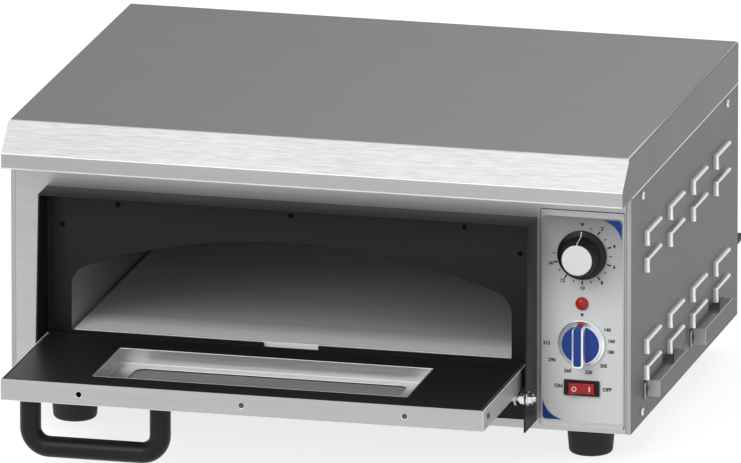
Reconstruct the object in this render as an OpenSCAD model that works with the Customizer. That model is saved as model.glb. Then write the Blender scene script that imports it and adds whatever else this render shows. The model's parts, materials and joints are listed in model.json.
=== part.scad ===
/* [Body] */
// Width of the steel body
body_w = 560; // [540:5:640]
// Depth of the body, front panel to back
body_d = 413; // [405:1:520]
// Height of the body without its feet
body_h = 252; // [248:1:300]
// Thickness of the body sheets
sheet_t = 1; // [0.8:0.1:1.4]
// Play between sheets that slide into each other
sheet_gap = 0.4; // [0.3:0.1:0.8]
// Width of the strips that the side panels turn onto the front
front_return = 4; // [3:0.5:8]

/* [Cover] */
// Depth of the cover's edges below its flat top
cover_drop = 38.2; // [34:0.1:50]
// How far the sloping front of the cover runs forwards
slope_run = 27; // [20:0.5:40]
// How far the sloping front falls
slope_drop = 24.5; // [18:0.5:30]
// How far the flat top passes the front panel
top_overhang = 6.5; // [0:0.5:15]
// Radius of the bends of the cover
cover_bend = 3; // [2:0.5:5]

/* [Feet] */
// Height of the feet
foot_h = 30; // [24:1:50]
// Diameter of a foot at its top
foot_top_d = 44; // [36:1:60]
// Diameter of a foot near the table
foot_low_d = 39; // [30:1:55]
// Distance from the body's side to a foot's centre
foot_in_x = 46; // [36:1:80]
// Distance from the body's front and back to a foot's centre
foot_in_y = 44; // [34:1:80]

/* [Baking chamber] */
// Inner width of the chamber
chamber_w = 402; // [402:1:410]
// Space behind the chamber for its rear insulation
rear_space = 31; // [16:1:60]
// Inner height of the chamber
chamber_h = 150; // [142:1:160]
// Height of the chamber's floor above the body's underside
chamber_lift = 26; // [24:1:32]
// Height of the baking deck above the body's underside
deck_lift_h = 62.5; // [60:0.5:70]
// Thickness of the deck plate
deck_t = 2; // [1.5:0.5:4]
// Depth of the deck plate's turned down edges
deck_lip = 14; // [10:1:16]
// Diameter of the heating tubes
heater_d = 8; // [6:0.5:10]
// Number of runs of a heating tube, an even number
heater_runs = 6; // [4:2:8]
// Distance from the chamber's front and back to the first and last run
heater_in = 50; // [48:1:70]

/* [Door surround] */
// Width of the black door surround
surround_w = 443.6; // [443:0.2:450]
// Height of the door surround
surround_h = 184; // [180:1:190]
// Sheet thickness of the surround
surround_t = 1.6; // [1:0.2:2]
// Height of the surround's lower edge above the body's underside
surround_lift = 7.8; // [5:0.2:14]
// Depth of the cheeks at their top
cheek_top = 29; // [26:1:34]
// Depth of the cheeks at their foot
cheek_low = 43.5; // [43:0.5:50]
// Distance from the body's centre to the surround's centre, to the left
surround_shift = 26; // [24:1:30]
// Width of the arched mouth
mouth_w = 398; // [370:1:398]
// Height of the mouth at the crown of its arch
mouth_h = 91.9; // [80:0.1:96]
// Height of the mouth's sides, to where the arch would meet them
mouth_side_h = 54; // [44:1:60]
// Radius where the arch meets the sides
mouth_corner_r = 20; // [10:1:26]
// Width of the finger notch in the mouth's lower edge
notch_w = 49; // [30:1:70]
// Depth of the finger notch
notch_h = 8; // [4:1:10]

/* [Door] */
// Length of the door from its lower edge to its upper edge
door_l = 159.8; // [150:0.2:160]
// Thickness of the door
door_t = 18.8; // [16:0.2:20]
// Gap between the door and each cheek
door_side_gap = 3.4; // [2:0.2:5]
// Width of the window recess
recess_w = 283; // [240:1:300]
// Height of the window recess
recess_l = 96.3; // [80:0.5:104]
// Distance from the door's upper edge to the window recess
recess_in = 28.8; // [26:0.2:32]
// Depth of the window recess
recess_depth = 13.6; // [12:0.2:14]
// Side border of the recess round the clear opening
window_side_border = 19; // [12:1:24]
// Upper and lower border of the recess round the clear opening
window_border = 12.7; // [9:0.1:16]
// Corner radius of the clear opening
window_r = 10; // [5:1:16]
// Thickness of the window glass
glass_t = 3; // [2:0.5:3]

/* [Hinge] */
// Distance from the front panel to the hinge axis
pivot_out = 36; // [35:0.5:38]
// Height of the hinge axis above the surround's lower edge
pivot_up = 29.4; // [28:0.2:32]
// Distance from the hinge axis to the door's outer face
pivot_drop = 7.6; // [7.4:0.1:9]
// Length of door behind the hinge axis
door_tail = 18; // [12:1:19]
// Diameter of the hinge bolts
bolt_d = 6; // [4:0.5:6]
// Radial play of turning shafts in their holes
run_play = 0.05; // [0.03:0.01:0.08]

/* [Handle] */
// Diameter of the handle tube
handle_d = 18.6; // [14:0.2:20]
// Distance between the two legs of the handle
handle_span = 117; // [90:1:140]
// Distance from the door's face to the middle of the grip
handle_reach = 46.3; // [40:0.1:47]
// Bend radius of the handle at the middle of the tube
handle_bend = 17; // [14:1:25]
// Distance from the door's centre to the handle's centre
handle_shift = 137.6; // [100:0.2:145]
// Distance from the door's upper edge to the handle
handle_in = 24.5; // [20:0.5:30]

/* [Controls] */
// Width of the control plate
plate_w = 76; // [70:1:78]
// Height of the control plate
plate_h = 195.6; // [190:0.2:200]
// Height of the control plate's lower edge above the body's underside
plate_lift = 4.8; // [3:0.2:10]
// Distance from the body's right side to the controls' centre line
controls_in = 43.5; // [42:0.5:46]
// Height of the rocker switch above the plate's lower edge
switch_up = 35.6; // [30:0.2:40]
// Height of the thermostat knob above the plate's lower edge
thermostat_up = 76.1; // [74:0.1:80]
// Height of the pilot lamp above the plate's lower edge
lamp_up = 111.9; // [110:0.1:116]
// Height of the timer knob above the plate's lower edge
timer_up = 156; // [152:0.1:160]
// Diameter of the timer knob's skirt
timer_d = 44; // [36:1:46]
// Depth of the timer knob
timer_depth = 20; // [14:1:24]
// Diameter of the timer knob's cap
timer_cap_d = 28.5; // [20:0.5:30]
// Diameter of the thermostat knob's skirt
thermostat_d = 42; // [36:1:44]
// Diameter of the thermostat knob's face
thermostat_face_d = 34; // [28:1:36]
// Diameter of the pilot lamp's lens
lamp_d = 11.7; // [8:0.1:13]
// Width of the switch's frame
switch_w = 32; // [31:0.5:36]
// Height of the switch's frame
switch_h = 14; // [13:0.5:18]
// Full swing of the switch's rocker, in degrees
rocker_swing = 16; // [10:1:20]

/* [Louvres] */
// Number of louvre columns on each side
louvre_columns = 4; // [2:1:4]
// Distance from the body's back to the last louvre's middle
louvre_last = 69.9; // [50:0.1:90]
// Length of a louvre
louvre_l = 52; // [40:1:60]
// Height of a louvre
louvre_h = 13.4; // [10:0.2:16]
// How far a louvre stands out
louvre_out = 4.6; // [3:0.1:5.5]
// Distance from the front panel to the first louvre's middle
louvre_first = 77; // [60:1:80]

/* [Side brackets] */
// Length of a side bracket without its tabs
bracket_l = 106; // [80:1:120]
// How far a side bracket stands out
bracket_out = 12; // [8:1:20]
// Height of a side bracket
bracket_h = 14.8; // [10:0.2:16]
// Sheet thickness of a side bracket
bracket_t = 1.5; // [1:0.1:2]

/* [Hidden] */
$fn = 64;

// Heights above the table and places along the body
base_z = foot_h;
top_z = base_z + body_h;
half_w = body_w / 2;
cover_low_z = top_z - cover_drop;
surround_x = -surround_shift;
surround_z = base_z + surround_lift;
deck_z = base_z + deck_lift_h;
chamber_d = body_d - 2 * sheet_t - rear_space;
liner_z = base_z + chamber_lift;
controls_x = half_w - controls_in;
plate_z = base_z + plate_lift;

// Door, measured from the hinge axis with the door open and level
door_w = surround_w - 2 * surround_t - 2 * door_side_gap;
pivot_y = -pivot_out;
pivot_z = surround_z + pivot_up;
door_front = door_tail - door_l;
door_face_z = pivot_drop;
door_inner_z = pivot_drop + door_t;
recess_y = door_front + recess_in;
recess_floor_z = door_inner_z - recess_depth;
frame_t = 0.8;
frame_rim = 5;
window_w = recess_w - 2 * window_side_border;
window_l = recess_l - 2 * window_border;
window_y = recess_y + recess_l / 2;
glass_border = 6;
seal_w = 4;
seal_gap = 0.15;
ear_t = 2;
ear_in = 4;
ear_r = 6.6;
ear_l = 34;
ear_foot_w = 16;
ear_foot_y = door_tail - ear_l / 2 - 1;
ear_x = door_w / 2 - ear_in - ear_t;
door_groove = 1.6;
rivet_d = 3.2;
rivet_head_d = 6.5;
rivet_head_h = 1.2;
rivet_pitch = 18;

// The object stands with the middle of its whole footprint at the origin
spacer_l = 25;
spacer_d = 7.4;
spacer_z = base_z + 65;
footprint_front = pivot_y + door_front;
footprint_back = body_d + spacer_l;
shift_y = -(footprint_front + footprint_back) / 2;

// Small sizes
fold = 16;
screw_d = 4;
screw_head_d = 7.5;
screw_head_h = 2;
slab_gap = 4;
insulation_gap = 0.3;
shield_gap = 0.3;
supports_w = 40;
rail_w = 12;
deck_gap = 3;
shaft_d = 6;
louvre_end_r = 2.5;
louvre_rows = [36.2, 60, 133.9, 158.3];
panel_screw_y = [42.7, body_d - 44.4];
panel_screw_z = [9.8, 205.7];
bracket_y = [61, body_d - bracket_l - 69];
louvre_pitch = (body_d - louvre_first - louvre_last) / (louvre_columns - 1);
bracket_z = base_z + 19;
bracket_tab = 11;
surround_rivet_d = 3.4;
surround_rivets_top = [-156.5, 0, 156.5];
surround_rivet_top_z = 171.3;
surround_rivet_side_x = 206.7;
surround_rivet_side_z = 150.5;
door_screw_pitch = 146.3;
door_screw_d = 5;
handle_x = -handle_shift;
handle_y = door_front + handle_in;
plug_depth = 15;
label_side = 1.6;
label_low = 4.4;
label_top = 5.9;
label_t = 0.3;
control_front = -(sheet_t + label_t);
knob_gap = 0.5;
deck_w = chamber_w - 2 * deck_gap;
deck_front = 4;
heater_upper_z = liner_z + chamber_h - 11;
heater_lower_z = liner_z + 15;
heater_first_y = sheet_t + heater_in;
heater_pitch = (chamber_d - 2 * heater_in) / (heater_runs - 1);
heater_left_x = surround_x - chamber_w / 2 + heater_pitch / 2 + heater_d / 2 + 3;
heater_right_x = surround_x + chamber_w / 2 - heater_pitch / 2 - heater_d / 2 - 3;
heater_hole_d = heater_d + 0.8;
liner_right_x = surround_x + chamber_w / 2 + sheet_t;
liner_left_x = surround_x - chamber_w / 2 - sheet_t;
timer_w = 48;
timer_foot_w = 54;
shield_x = controls_x - timer_foot_w / 2 - 2 - sheet_t;
heater_end_x = shield_x + sheet_t + 14;
shield_h = 224;
insulation_top_z = liner_z + chamber_h + sheet_t + insulation_gap;
insulation_lid_t = 42;
sensor_y = 330;
sensor_z = liner_z + chamber_h - 30;
capillary_d = 1.6;
gland_x = controls_x;
gland_z = base_z + 30;
gland_bore_d = 8.4;
gland_d = 16;
gland_flange_d = 22;
rail_h = 15;
rail_z = cover_low_z - 2 * sheet_gap - sheet_t - rail_h;
rocker_r = 12;
rocker_gap = 0.3;
rocker_h = 9.5;
rocker_peak = 3.4;
rocker_axis_y = control_front - 1.2;

// Moves a piece from the front panel's frame to the object's own
module in_frame() {
    translate([0, shift_y, 0]) children();
}

// Moves a piece from the hinge axis to its place with the door open
module on_hinge() {
    in_frame() translate([surround_x, pivot_y, pivot_z]) children();
}

// A control's place on the plate, with its front towards +Z
module at_control(up) {
    in_frame() translate([controls_x, 0, plate_z + up]) rotate([90, 0, 0]) children();
}

// Both mirror images of a piece across the body's middle
module both_sides() {
    children();
    mirror([1, 0, 0]) children();
}

// A box from its lowest corner to its highest one
module span(low, high) {
    translate(low) cube(high - low);
}

// A flat rectangle with round corners, about the origin
module round_rect(w, l, r) {
    square([w - 2 * r, l], center = true);
    square([w, l - 2 * r], center = true);
    for (sx = [-1, 1], sy = [-1, 1]) translate([sx * (w / 2 - r), sy * (l / 2 - r)]) circle(r = r);
}

// Points of an arc, for the bends of a profile
function arc(c, r, a0, a1, n = 5) =
    [for (i = [0:n]) c + r * [cos(a0 + (a1 - a0) * i / n), sin(a0 + (a1 - a0) * i / n)]];

// A cylinder along X
module x_rod(d, x0, x1) {
    translate([x0, 0, 0]) rotate([0, 90, 0]) cylinder(d = d, h = x1 - x0);
}

// A cylinder along Y
module y_rod(d, y0, y1) {
    translate([0, y1, 0]) rotate([90, 0, 0]) cylinder(d = d, h = y1 - y0);
}

// Side view of the cover, grown inwards by a sheet
module cover_profile(inset) {
    front = -top_overhang - slope_run + inset;
    back = body_d - inset;
    top = top_z - inset;
    slope = atan2(slope_drop, slope_run);
    r = cover_bend - inset;
    brow = [-top_overhang + inset * tan(slope / 2), top];
    chin = [front, top_z - slope_drop - inset * tan((90 - slope) / 2)];
    brow_in = r * tan(slope / 2);
    chin_in = r * tan((90 - slope) / 2);
    polygon(concat(
        [[front, cover_low_z - inset]],
        arc(chin + [r, -chin_in], r, 180, 90 + slope),
        arc(brow + [brow_in, -r], r, 90 + slope, 90),
        arc([back - r, top - r], r, 90, 0),
        [[back, cover_low_z - inset]]
    ));
}

// Cross view of the cover, with round upper edges
module cover_section(inset) {
    r = cover_bend - inset;
    w = half_w - inset;
    low = cover_low_z - inset;
    translate([-w, low]) square([2 * w, top_z - inset - r - low]);
    translate([-w + r, low]) square([2 * (w - r), top_z - inset - low]);
    for (s = [-1, 1]) translate([s * (w - r), top_z - inset - r]) circle(r = r);
}

module cover_solid(inset) {
    intersection() {
        rotate([90, 0, 90]) translate([0, 0, -half_w]) linear_extrude(body_w) cover_profile(inset);
        translate([0, body_d + 1, 0]) rotate([90, 0, 0])
            linear_extrude(body_d + top_overhang + slope_run + 2) cover_section(inset);
    }
}

module top_cover() {
    color("#9a9b9b") in_frame() difference() {
        cover_solid(0);
        cover_solid(sheet_t);
    }
}

// One pressed louvre on the plane x = 0, its mouth downwards, shrunk by a sheet for its hollow
module louvre(inset) {
    depth = inset > 0 ? 2 * sheet_t : sheet_t / 2;
    low = inset > 0 ? -1 : 0;
    r = louvre_end_r - inset;
    turn_x = louvre_out - louvre_end_r;
    turn_y = louvre_l / 2 - louvre_end_r;
    intersection() {
        rotate([90, 0, 0]) linear_extrude(2 * louvre_l, center = true) polygon(concat(
            [[-depth, low], [louvre_out - inset, low]],
            arc([turn_x, louvre_h - louvre_end_r], r, 0, 90, 5),
            [[-depth, louvre_h - inset]]
        ));
        translate([0, 0, low - 1]) linear_extrude(louvre_h + 4) polygon(concat(
            [[-depth, inset - louvre_l / 2]],
            arc([turn_x, -turn_y], r, -90, 0, 5),
            arc([turn_x, turn_y], r, 0, 90, 5),
            [[-depth, louvre_l / 2 - inset]]
        ));
    }
}

module louvre_field(inset) {
    for (i = [0:louvre_columns - 1], z = louvre_rows)
        translate([half_w, louvre_first + i * louvre_pitch, base_z + z]) louvre(inset);
}

// The right side panel: wall, turned edges, a stepped upper edge behind the cover, louvres
module side_panel() {
    wall_top = cover_low_z - sheet_gap;
    step_x = half_w - sheet_t - sheet_gap;
    difference() {
        union() {
            span([half_w - sheet_t, 0, base_z], [half_w, body_d, wall_top]);
            span([half_w - front_return, 0, base_z], [half_w, sheet_t, wall_top]);
            span([half_w - 8, body_d - sheet_t, base_z], [half_w, body_d, wall_top]);
            span([step_x - sheet_t, sheet_t + 1, wall_top - sheet_t], [half_w, body_d - 3, wall_top]);
            span([step_x - sheet_t, sheet_t + 1, wall_top - sheet_t], [step_x, body_d - 3, wall_top + 14]);
            louvre_field(0);
        }
        louvre_field(sheet_t);
        for (y = panel_screw_y, z = panel_screw_z)
            translate([0, y, base_z + z]) x_rod(screw_d + 0.4, half_w - 2, half_w + 1);
        for (y = bracket_y, e = [-bracket_tab / 2, bracket_l + bracket_tab / 2])
            translate([0, y + e, bracket_z + bracket_h / 2]) x_rod(screw_d, half_w - 2, half_w + 1);
    }
}

module left_side_panel() {
    color("#8d8e8e") in_frame() mirror([1, 0, 0]) side_panel();
}

module right_side_panel() {
    color("#8d8e8e") in_frame() side_panel();
}

module rear_panel() {
    w = half_w - sheet_t - sheet_gap;
    color("#8d8e8e") in_frame() difference() {
        span([-w, body_d - 2 * sheet_t, base_z + sheet_t],
             [w, body_d - sheet_t, top_z - cover_bend - sheet_gap]);
        translate([gland_x, 0, gland_z]) y_rod(gland_d, body_d - 5, body_d + 1);
        for (i = [-3:3]) translate([surround_x + i * 50, body_d, cover_low_z - 23.8])
            rotate([90, 0, 0]) translate([0, 0, -1]) linear_extrude(5) round_rect(36, 5, 2.4);
    }
}

module base_panel() {
    w = half_w - sheet_t;
    back = body_d - 2 * sheet_t - sheet_gap;
    color("#8d8e8e") in_frame() difference() {
        union() {
            span([-w, sheet_t + sheet_gap, base_z], [w, back, base_z + sheet_t]);
            both_sides() span([w - sheet_t, sheet_t + 1, base_z], [w, back - 1, base_z + fold]);
        }
        for (i = [-4:4], y = [body_d / 2 - 76.5, body_d / 2 + 76.5]) translate([i * 36, y, base_z - 1])
            linear_extrude(4) round_rect(6, 60, 2.9);
        foot_places() translate([0, 0, base_z - 1]) cylinder(d = screw_d + 1.2, h = 4);
        both_sides() for (y = panel_screw_y)
            translate([0, y, base_z + panel_screw_z[0]]) x_rod(screw_d, w - 3, w + 1);
    }
}

// Arched outline of the mouth, its lower edge on the X axis
module mouth_outline() {
    half = mouth_w / 2;
    sag = mouth_h - mouth_side_h;
    r = (half * half + sag * sag) / (2 * sag);
    c = mouth_h - r;
    f = mouth_corner_r;
    fz = c + sqrt(pow(r - f, 2) - pow(half - f, 2));
    lean = atan2(fz - c, half - f);
    polygon(concat(
        [[half, 0]],
        arc([half - f, fz], f, 0, lean, 8),
        arc([0, c], r, lean + 0.5, 179.5 - lean, 40),
        arc([f - half, fz], f, 180 - lean, 180, 8),
        [[-half, 0]]
    ));
}

// The finger notch below the mouth, with round lower corners
module notch_outline() {
    r = 2.5;
    translate([-notch_w / 2, -notch_h + r]) square([notch_w, notch_h - r + 1]);
    translate([-notch_w / 2 + r, -notch_h]) square([notch_w - 2 * r, notch_h]);
    for (s = [-1, 1]) translate([s * (notch_w / 2 - r), -notch_h + r]) circle(r = r);
}

module front_panel() {
    w = half_w - front_return - sheet_gap;
    cut_half = mouth_w / 2 + 1;
    color("#b4b4b3") in_frame() difference() {
        span([-w, 0, base_z], [w, sheet_t, top_z - sheet_t - sheet_gap]);
        span([surround_x - cut_half, -1, deck_z - notch_h - 3],
             [surround_x + cut_half, 2, deck_z + mouth_h + 5]);
        control_holes(1);
        surround_rivet_places() y_rod(surround_rivet_d, -1, 3);
    }
}

// Holes for the timer, thermostat, lamp and switch; each shaft's bush is a little smaller than its hole
module control_holes(depth) {
    for (up = [timer_up, thermostat_up]) translate([controls_x, 0, plate_z + up])
        y_rod(10.4, -3, depth + 1);
    translate([controls_x, 0, plate_z + lamp_up]) y_rod(9.4, -3, depth + 1);
    span([controls_x - switch_w / 2 + 1.8, -3, plate_z + switch_up - switch_h / 2 + 1.2],
         [controls_x + switch_w / 2 - 1.8, depth + 1, plate_z + switch_up + switch_h / 2 - 1.2]);
}

// Angle rails inside the side panels, under the cover
module side_rails() {
    x = half_w - sheet_t;
    front = sheet_t + 2;
    back = body_d - 2 * sheet_t - 1;
    color("#a0a1a1") in_frame() both_sides() difference() {
        union() {
            span([x - sheet_t, front, rail_z], [x, back, rail_z + rail_h]);
            span([x - rail_w, front, rail_z], [x, back, rail_z + sheet_t]);
        }
        for (y = panel_screw_y) translate([0, y, base_z + panel_screw_z[1]])
            x_rod(screw_d, x - 3, x + 1);
    }
}

// A pan head screw along -X with its head's seat on x = 0
module side_screw(l) {
    rotate([0, -90, 0]) cylinder(d = screw_d - 0.2, h = l);
    rotate([0, 90, 0]) rotate_extrude() polygon(concat(
        [[0, 0], [screw_head_d / 2, 0], [screw_head_d / 2, screw_head_h * 0.4]],
        arc([screw_head_d / 2 - 1.2, screw_head_h * 0.4], 1.2, 0, 90, 4),
        [[0, screw_head_h * 0.4 + 1.2]]
    ));
}

module panel_screws() {
    color("#c9c9c9") in_frame() both_sides() {
        for (y = panel_screw_y, z = panel_screw_z)
            translate([half_w, y, base_z + z]) side_screw(6);
        for (y = bracket_y, e = [-bracket_tab / 2, bracket_l + bracket_tab / 2])
            translate([half_w + bracket_t, y + e, bracket_z + bracket_h / 2]) side_screw(5);
    }
}

module foot_places() {
    for (sx = [-1, 1], y = [foot_in_y, body_d - foot_in_y])
        translate([sx * (half_w - foot_in_x), y, 0]) children();
}

module feet() {
    r = 4;
    top_r = foot_top_d / 2;
    low_r = foot_low_d / 2;
    color("#1d1d1d") in_frame() foot_places() difference() {
        rotate_extrude() polygon(concat(
            [[0, 0]], arc([low_r - r, r], r, -90, 0, 6),
            [[top_r - 0.6, foot_h - 5], [top_r, foot_h - 4], [top_r, foot_h], [0, foot_h]]
        ));
        translate([0, 0, -1]) cylinder(d = 13, h = 13);
        translate([0, 0, 1]) cylinder(d = screw_d + 1.2, h = foot_h);
    }
}

module foot_screws() {
    seat = 12;
    color("#c9c9c9") in_frame() foot_places() {
        translate([0, 0, seat]) cylinder(d = screw_d + 1, h = foot_h - seat + 9);
        translate([0, 0, seat - 3]) cylinder(d = 9, h = 3);
        translate([0, 0, base_z + sheet_t]) difference() {
            cylinder(d = 11, h = 4, $fn = 6);
            translate([0, 0, -1]) cylinder(d = screw_d + 1, h = 6);
        }
    }
}

// Hat-shaped stand-off brackets low on both sides
module side_brackets() {
    color("#a3a4a4") in_frame() both_sides() for (y = bracket_y)
        translate([half_w, y, bracket_z]) difference() {
            union() {
                translate([0, -bracket_tab, 0]) cube([bracket_t, bracket_l + 2 * bracket_tab, bracket_h]);
                cube([bracket_out, bracket_l, bracket_h]);
            }
            translate([-1, bracket_t, -1])
                cube([bracket_out - bracket_t + 1, bracket_l - 2 * bracket_t, bracket_h + 2]);
            for (e = [-bracket_tab / 2, bracket_l + bracket_tab / 2])
                translate([0, e, bracket_h / 2]) x_rod(screw_d + 0.4, -1, bracket_t + 1);
        }
}

// Stand-offs that keep the back away from a wall
module rear_spacers() {
    r = spacer_d / 2;
    color("#1d1d1d") in_frame() both_sides()
        translate([half_w - r - 0.3, body_d, spacer_z]) rotate([-90, 0, 0]) rotate_extrude()
            polygon(concat([[0, 0], [r, 0]], arc([r - 1, spacer_l - 1], 1, 0, 90, 4), [[0, spacer_l]]));
}

// The places of the small rivets in the surround's face plate
module surround_rivet_places() {
    for (x = surround_rivets_top) translate([surround_x + x, 0, surround_z + surround_rivet_top_z])
        children();
    for (s = [-1, 1])
        translate([surround_x + s * surround_rivet_side_x, 0, surround_z + surround_rivet_side_z])
            children();
}

// One bent sheet: face plate with the mouth, a roof and two cheeks that widen downwards
module door_surround() {
    half = surround_w / 2;
    top = surround_z + surround_h;
    color("#262626") in_frame() difference() {
        union() {
            span([surround_x - half, -surround_t, surround_z], [surround_x + half, 0, top]);
            span([surround_x - half, -cheek_top, top - surround_t], [surround_x + half, 0, top]);
            for (s = [0, 1]) translate([surround_x + (s == 0 ? -half : half - surround_t), 0, 0])
                rotate([90, 0, 90]) linear_extrude(surround_t)
                    polygon([[0, surround_z], [-cheek_low, surround_z], [-cheek_top, top], [0, top]]);
        }
        translate([surround_x, 1, deck_z]) rotate([90, 0, 0]) linear_extrude(surround_t + 2) {
            mouth_outline();
            notch_outline();
        }
        translate([surround_x, pivot_y, pivot_z]) x_rod(bolt_d + 2 * run_play, -half - 1, half + 1);
        surround_rivet_places() y_rod(surround_rivet_d, -3, 1);
    }
}

module surround_rivets() {
    color("#0c0c0c") in_frame() surround_rivet_places() {
        y_rod(surround_rivet_d - 0.1, -surround_t, 3);
        y_rod(surround_rivet_d + 1.2, -surround_t - 0.4, -surround_t);
    }
}

module heater_holes(x0, x1) {
    for (z = [heater_upper_z, heater_lower_z], y = [0, heater_runs - 1])
        translate([0, heater_first_y + y * heater_pitch, z]) x_rod(heater_hole_d, x0, x1);
    translate([0, sensor_y, sensor_z]) x_rod(capillary_d + 1, x0, x1);
}

module chamber_liner() {
    half = chamber_w / 2;
    color("#8f8f8c") in_frame() difference() {
        span([surround_x - half - sheet_t, sheet_t, liner_z - sheet_t],
             [surround_x + half + sheet_t, sheet_t + chamber_d + sheet_t, liner_z + chamber_h + sheet_t]);
        span([surround_x - half, 0, liner_z],
             [surround_x + half, sheet_t + chamber_d, liner_z + chamber_h]);
        heater_holes(surround_x + half - 1, surround_x + half + 3);
    }
}

// Hat channels that carry the chamber above the base
module chamber_supports() {
    h = chamber_lift - 2 * sheet_t;
    l = chamber_w - 20;
    color("#8f8f8c") in_frame() for (y = [70, chamber_d - 70])
        translate([surround_x - l / 2, y - supports_w / 2, base_z + sheet_t]) {
            difference() {
                translate([0, 8, 0]) cube([l, supports_w - 16, h]);
                translate([-1, 8 + sheet_t, -1]) cube([l + 2, supports_w - 16 - 2 * sheet_t, h + 1 - sheet_t]);
            }
            cube([l, 8, sheet_t]);
            translate([0, supports_w - 8, 0]) cube([l, 8, sheet_t]);
        }
}

// Angles on the chamber's side walls that carry the deck plate
module deck_rails() {
    top = deck_z - deck_t;
    front = deck_front + deck_t + 2;
    back = chamber_d - 6;
    x = chamber_w / 2;
    color("#8f8f8c") in_frame() translate([surround_x, 0, 0]) both_sides() {
        span([x - sheet_t, front, top - rail_w], [x, back, top]);
        span([x - rail_w, front, top - sheet_t], [x, back, top]);
    }
}

module deck_plate() {
    back = chamber_d - 2;
    color("#a9a9a6") in_frame() translate([surround_x, 0, 0]) {
        span([-deck_w / 2, deck_front, deck_z - deck_t], [deck_w / 2, back, deck_z]);
        span([-deck_w / 2, deck_front, deck_z - deck_lip], [deck_w / 2, deck_front + deck_t, deck_z]);
        span([-deck_w / 2, back - deck_t, deck_z - deck_lip], [deck_w / 2, back, deck_z]);
    }
}

// A U-turn of heating tube in the level plane, opening towards -X when turned 0 degrees
module heater_turn(angle) {
    rotate([0, 0, angle - 90]) rotate_extrude(angle = 180) translate([heater_pitch / 2, 0])
        circle(d = heater_d);
}

// One tube in parallel runs with both ends through the chamber's right wall
module heater() {
    last = heater_runs - 1;
    for (i = [0, last]) translate([0, i * heater_pitch, 0]) {
        x_rod(heater_d, heater_left_x, heater_end_x);
        x_rod(3, heater_end_x - 2, heater_end_x + 9);
    }
    for (i = [1:last - 1]) translate([0, i * heater_pitch, 0]) x_rod(heater_d, heater_left_x, heater_right_x);
    for (i = [0:2:last - 1]) translate([heater_left_x, (i + 0.5) * heater_pitch, 0]) heater_turn(180);
    for (i = [1:2:last - 2]) translate([heater_right_x, (i + 0.5) * heater_pitch, 0]) heater_turn(0);
}

module upper_heater() {
    color("#4b4743") in_frame() translate([0, heater_first_y, heater_upper_z]) heater();
}

module lower_heater() {
    color("#4b4743") in_frame() translate([0, heater_first_y, heater_lower_z]) heater();
}

// Straps that hold the heating tubes to the chamber's ceiling and floor
module heater_clips() {
    r = heater_d / 2;
    strap_w = 8;
    color("#8f8f8c") in_frame() for (up = [0, 1], x = [heater_left_x + 40, heater_right_x - 48]) {
        seat = up == 1 ? liner_z + chamber_h : liner_z;
        drop = up == 1 ? liner_z + chamber_h - heater_upper_z : heater_lower_z - liner_z;
        for (i = [0:heater_runs - 1]) translate([x, heater_first_y + i * heater_pitch, seat])
            mirror([0, 0, up]) rotate([90, 0, 90]) linear_extrude(strap_w) difference() {
                union() {
                    translate([-r - 1, 0]) square([heater_d + 2, drop]);
                    translate([0, drop]) circle(r = r + 1);
                }
                translate([0, drop]) circle(r = r);
                translate([-r, -1]) square([heater_d, drop - r - 1.4]);
            }
    }
}

// Mineral wool slabs round the chamber: lid, left wall, back and the wall beside the electrics
module insulation() {
    left = liner_left_x - insulation_gap;
    right = liner_right_x + insulation_gap;
    outer_left = -half_w + rail_w + slab_gap;
    outer_right = shield_x - shield_gap;
    front = sheet_t + 2;
    back = sheet_t + chamber_d + sheet_t + insulation_gap;
    low = liner_z - sheet_t;
    top = insulation_top_z - insulation_gap;
    color("#cfc9a8") in_frame() {
        span([outer_left, front, top + insulation_gap], [outer_right, back - 1, top + insulation_lid_t]);
        span([outer_left, front, low], [left, back - 1, top]);
        span([left, back, low], [right, body_d - 2 * sheet_t - 1, top]);
        difference() {
            span([right, front, low], [outer_right, back - 1, top]);
            heater_holes(right - 1, outer_right + 1);
        }
    }
}

// Heat shield between the chamber and the electrics
module bay_shield() {
    color("#a0a1a1") in_frame() difference() {
        span([shield_x, sheet_t + 2, base_z + sheet_t],
             [shield_x + sheet_t, body_d - 2 * sheet_t - 2, base_z + shield_h]);
        heater_holes(shield_x - 1, shield_x + sheet_t + 1);
    }
}

module control_plate() {
    color("#c4c5c5") in_frame() difference() {
        translate([controls_x, 0, plate_z + plate_h / 2]) rotate([90, 0, 0])
            linear_extrude(sheet_t) round_rect(plate_w, plate_h, 1.5);
        control_holes(0);
    }
}

module control_label() {
    h = plate_h - label_low - label_top;
    w = plate_w - 2 * label_side;
    color("#b7b9ba") in_frame() difference() {
        translate([controls_x, -sheet_t, plate_z + label_low + h / 2]) rotate([90, 0, 0])
            linear_extrude(label_t) round_rect(w, h, 3);
        control_holes(0);
    }
}

// The clockwork of the timer behind the front panel, with its threaded bush
module timer_body() {
    color("#b9b29a") at_control(timer_up) difference() {
        union() {
            translate([-timer_w / 2, -21, -sheet_t - 40]) cube([timer_w, 42, 38]);
            translate([-timer_foot_w / 2, -10, -sheet_t - 2]) cube([timer_foot_w, 20, 2]);
            cylinder(d = 10, h = -control_front);
            translate([0, 0, -sheet_t - 3]) cylinder(d = 10, h = 4);
        }
        translate([0, 0, -sheet_t - 12]) cylinder(d = shaft_d + 2 * run_play, h = 20);
    }
}

module thermostat_body() {
    color("#b9b29a") at_control(thermostat_up) difference() {
        union() {
            translate([-17, -19, -sheet_t - 34]) cube([34, 38, 32]);
            translate([-21, -9, -sheet_t - 2]) cube([42, 18, 2]);
            cylinder(d = 10, h = -control_front);
            translate([0, 0, -sheet_t - 3]) cylinder(d = 10, h = 4);
        }
        translate([0, 0, -sheet_t - 12]) cylinder(d = shaft_d + 2 * run_play, h = 20);
    }
}

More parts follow.
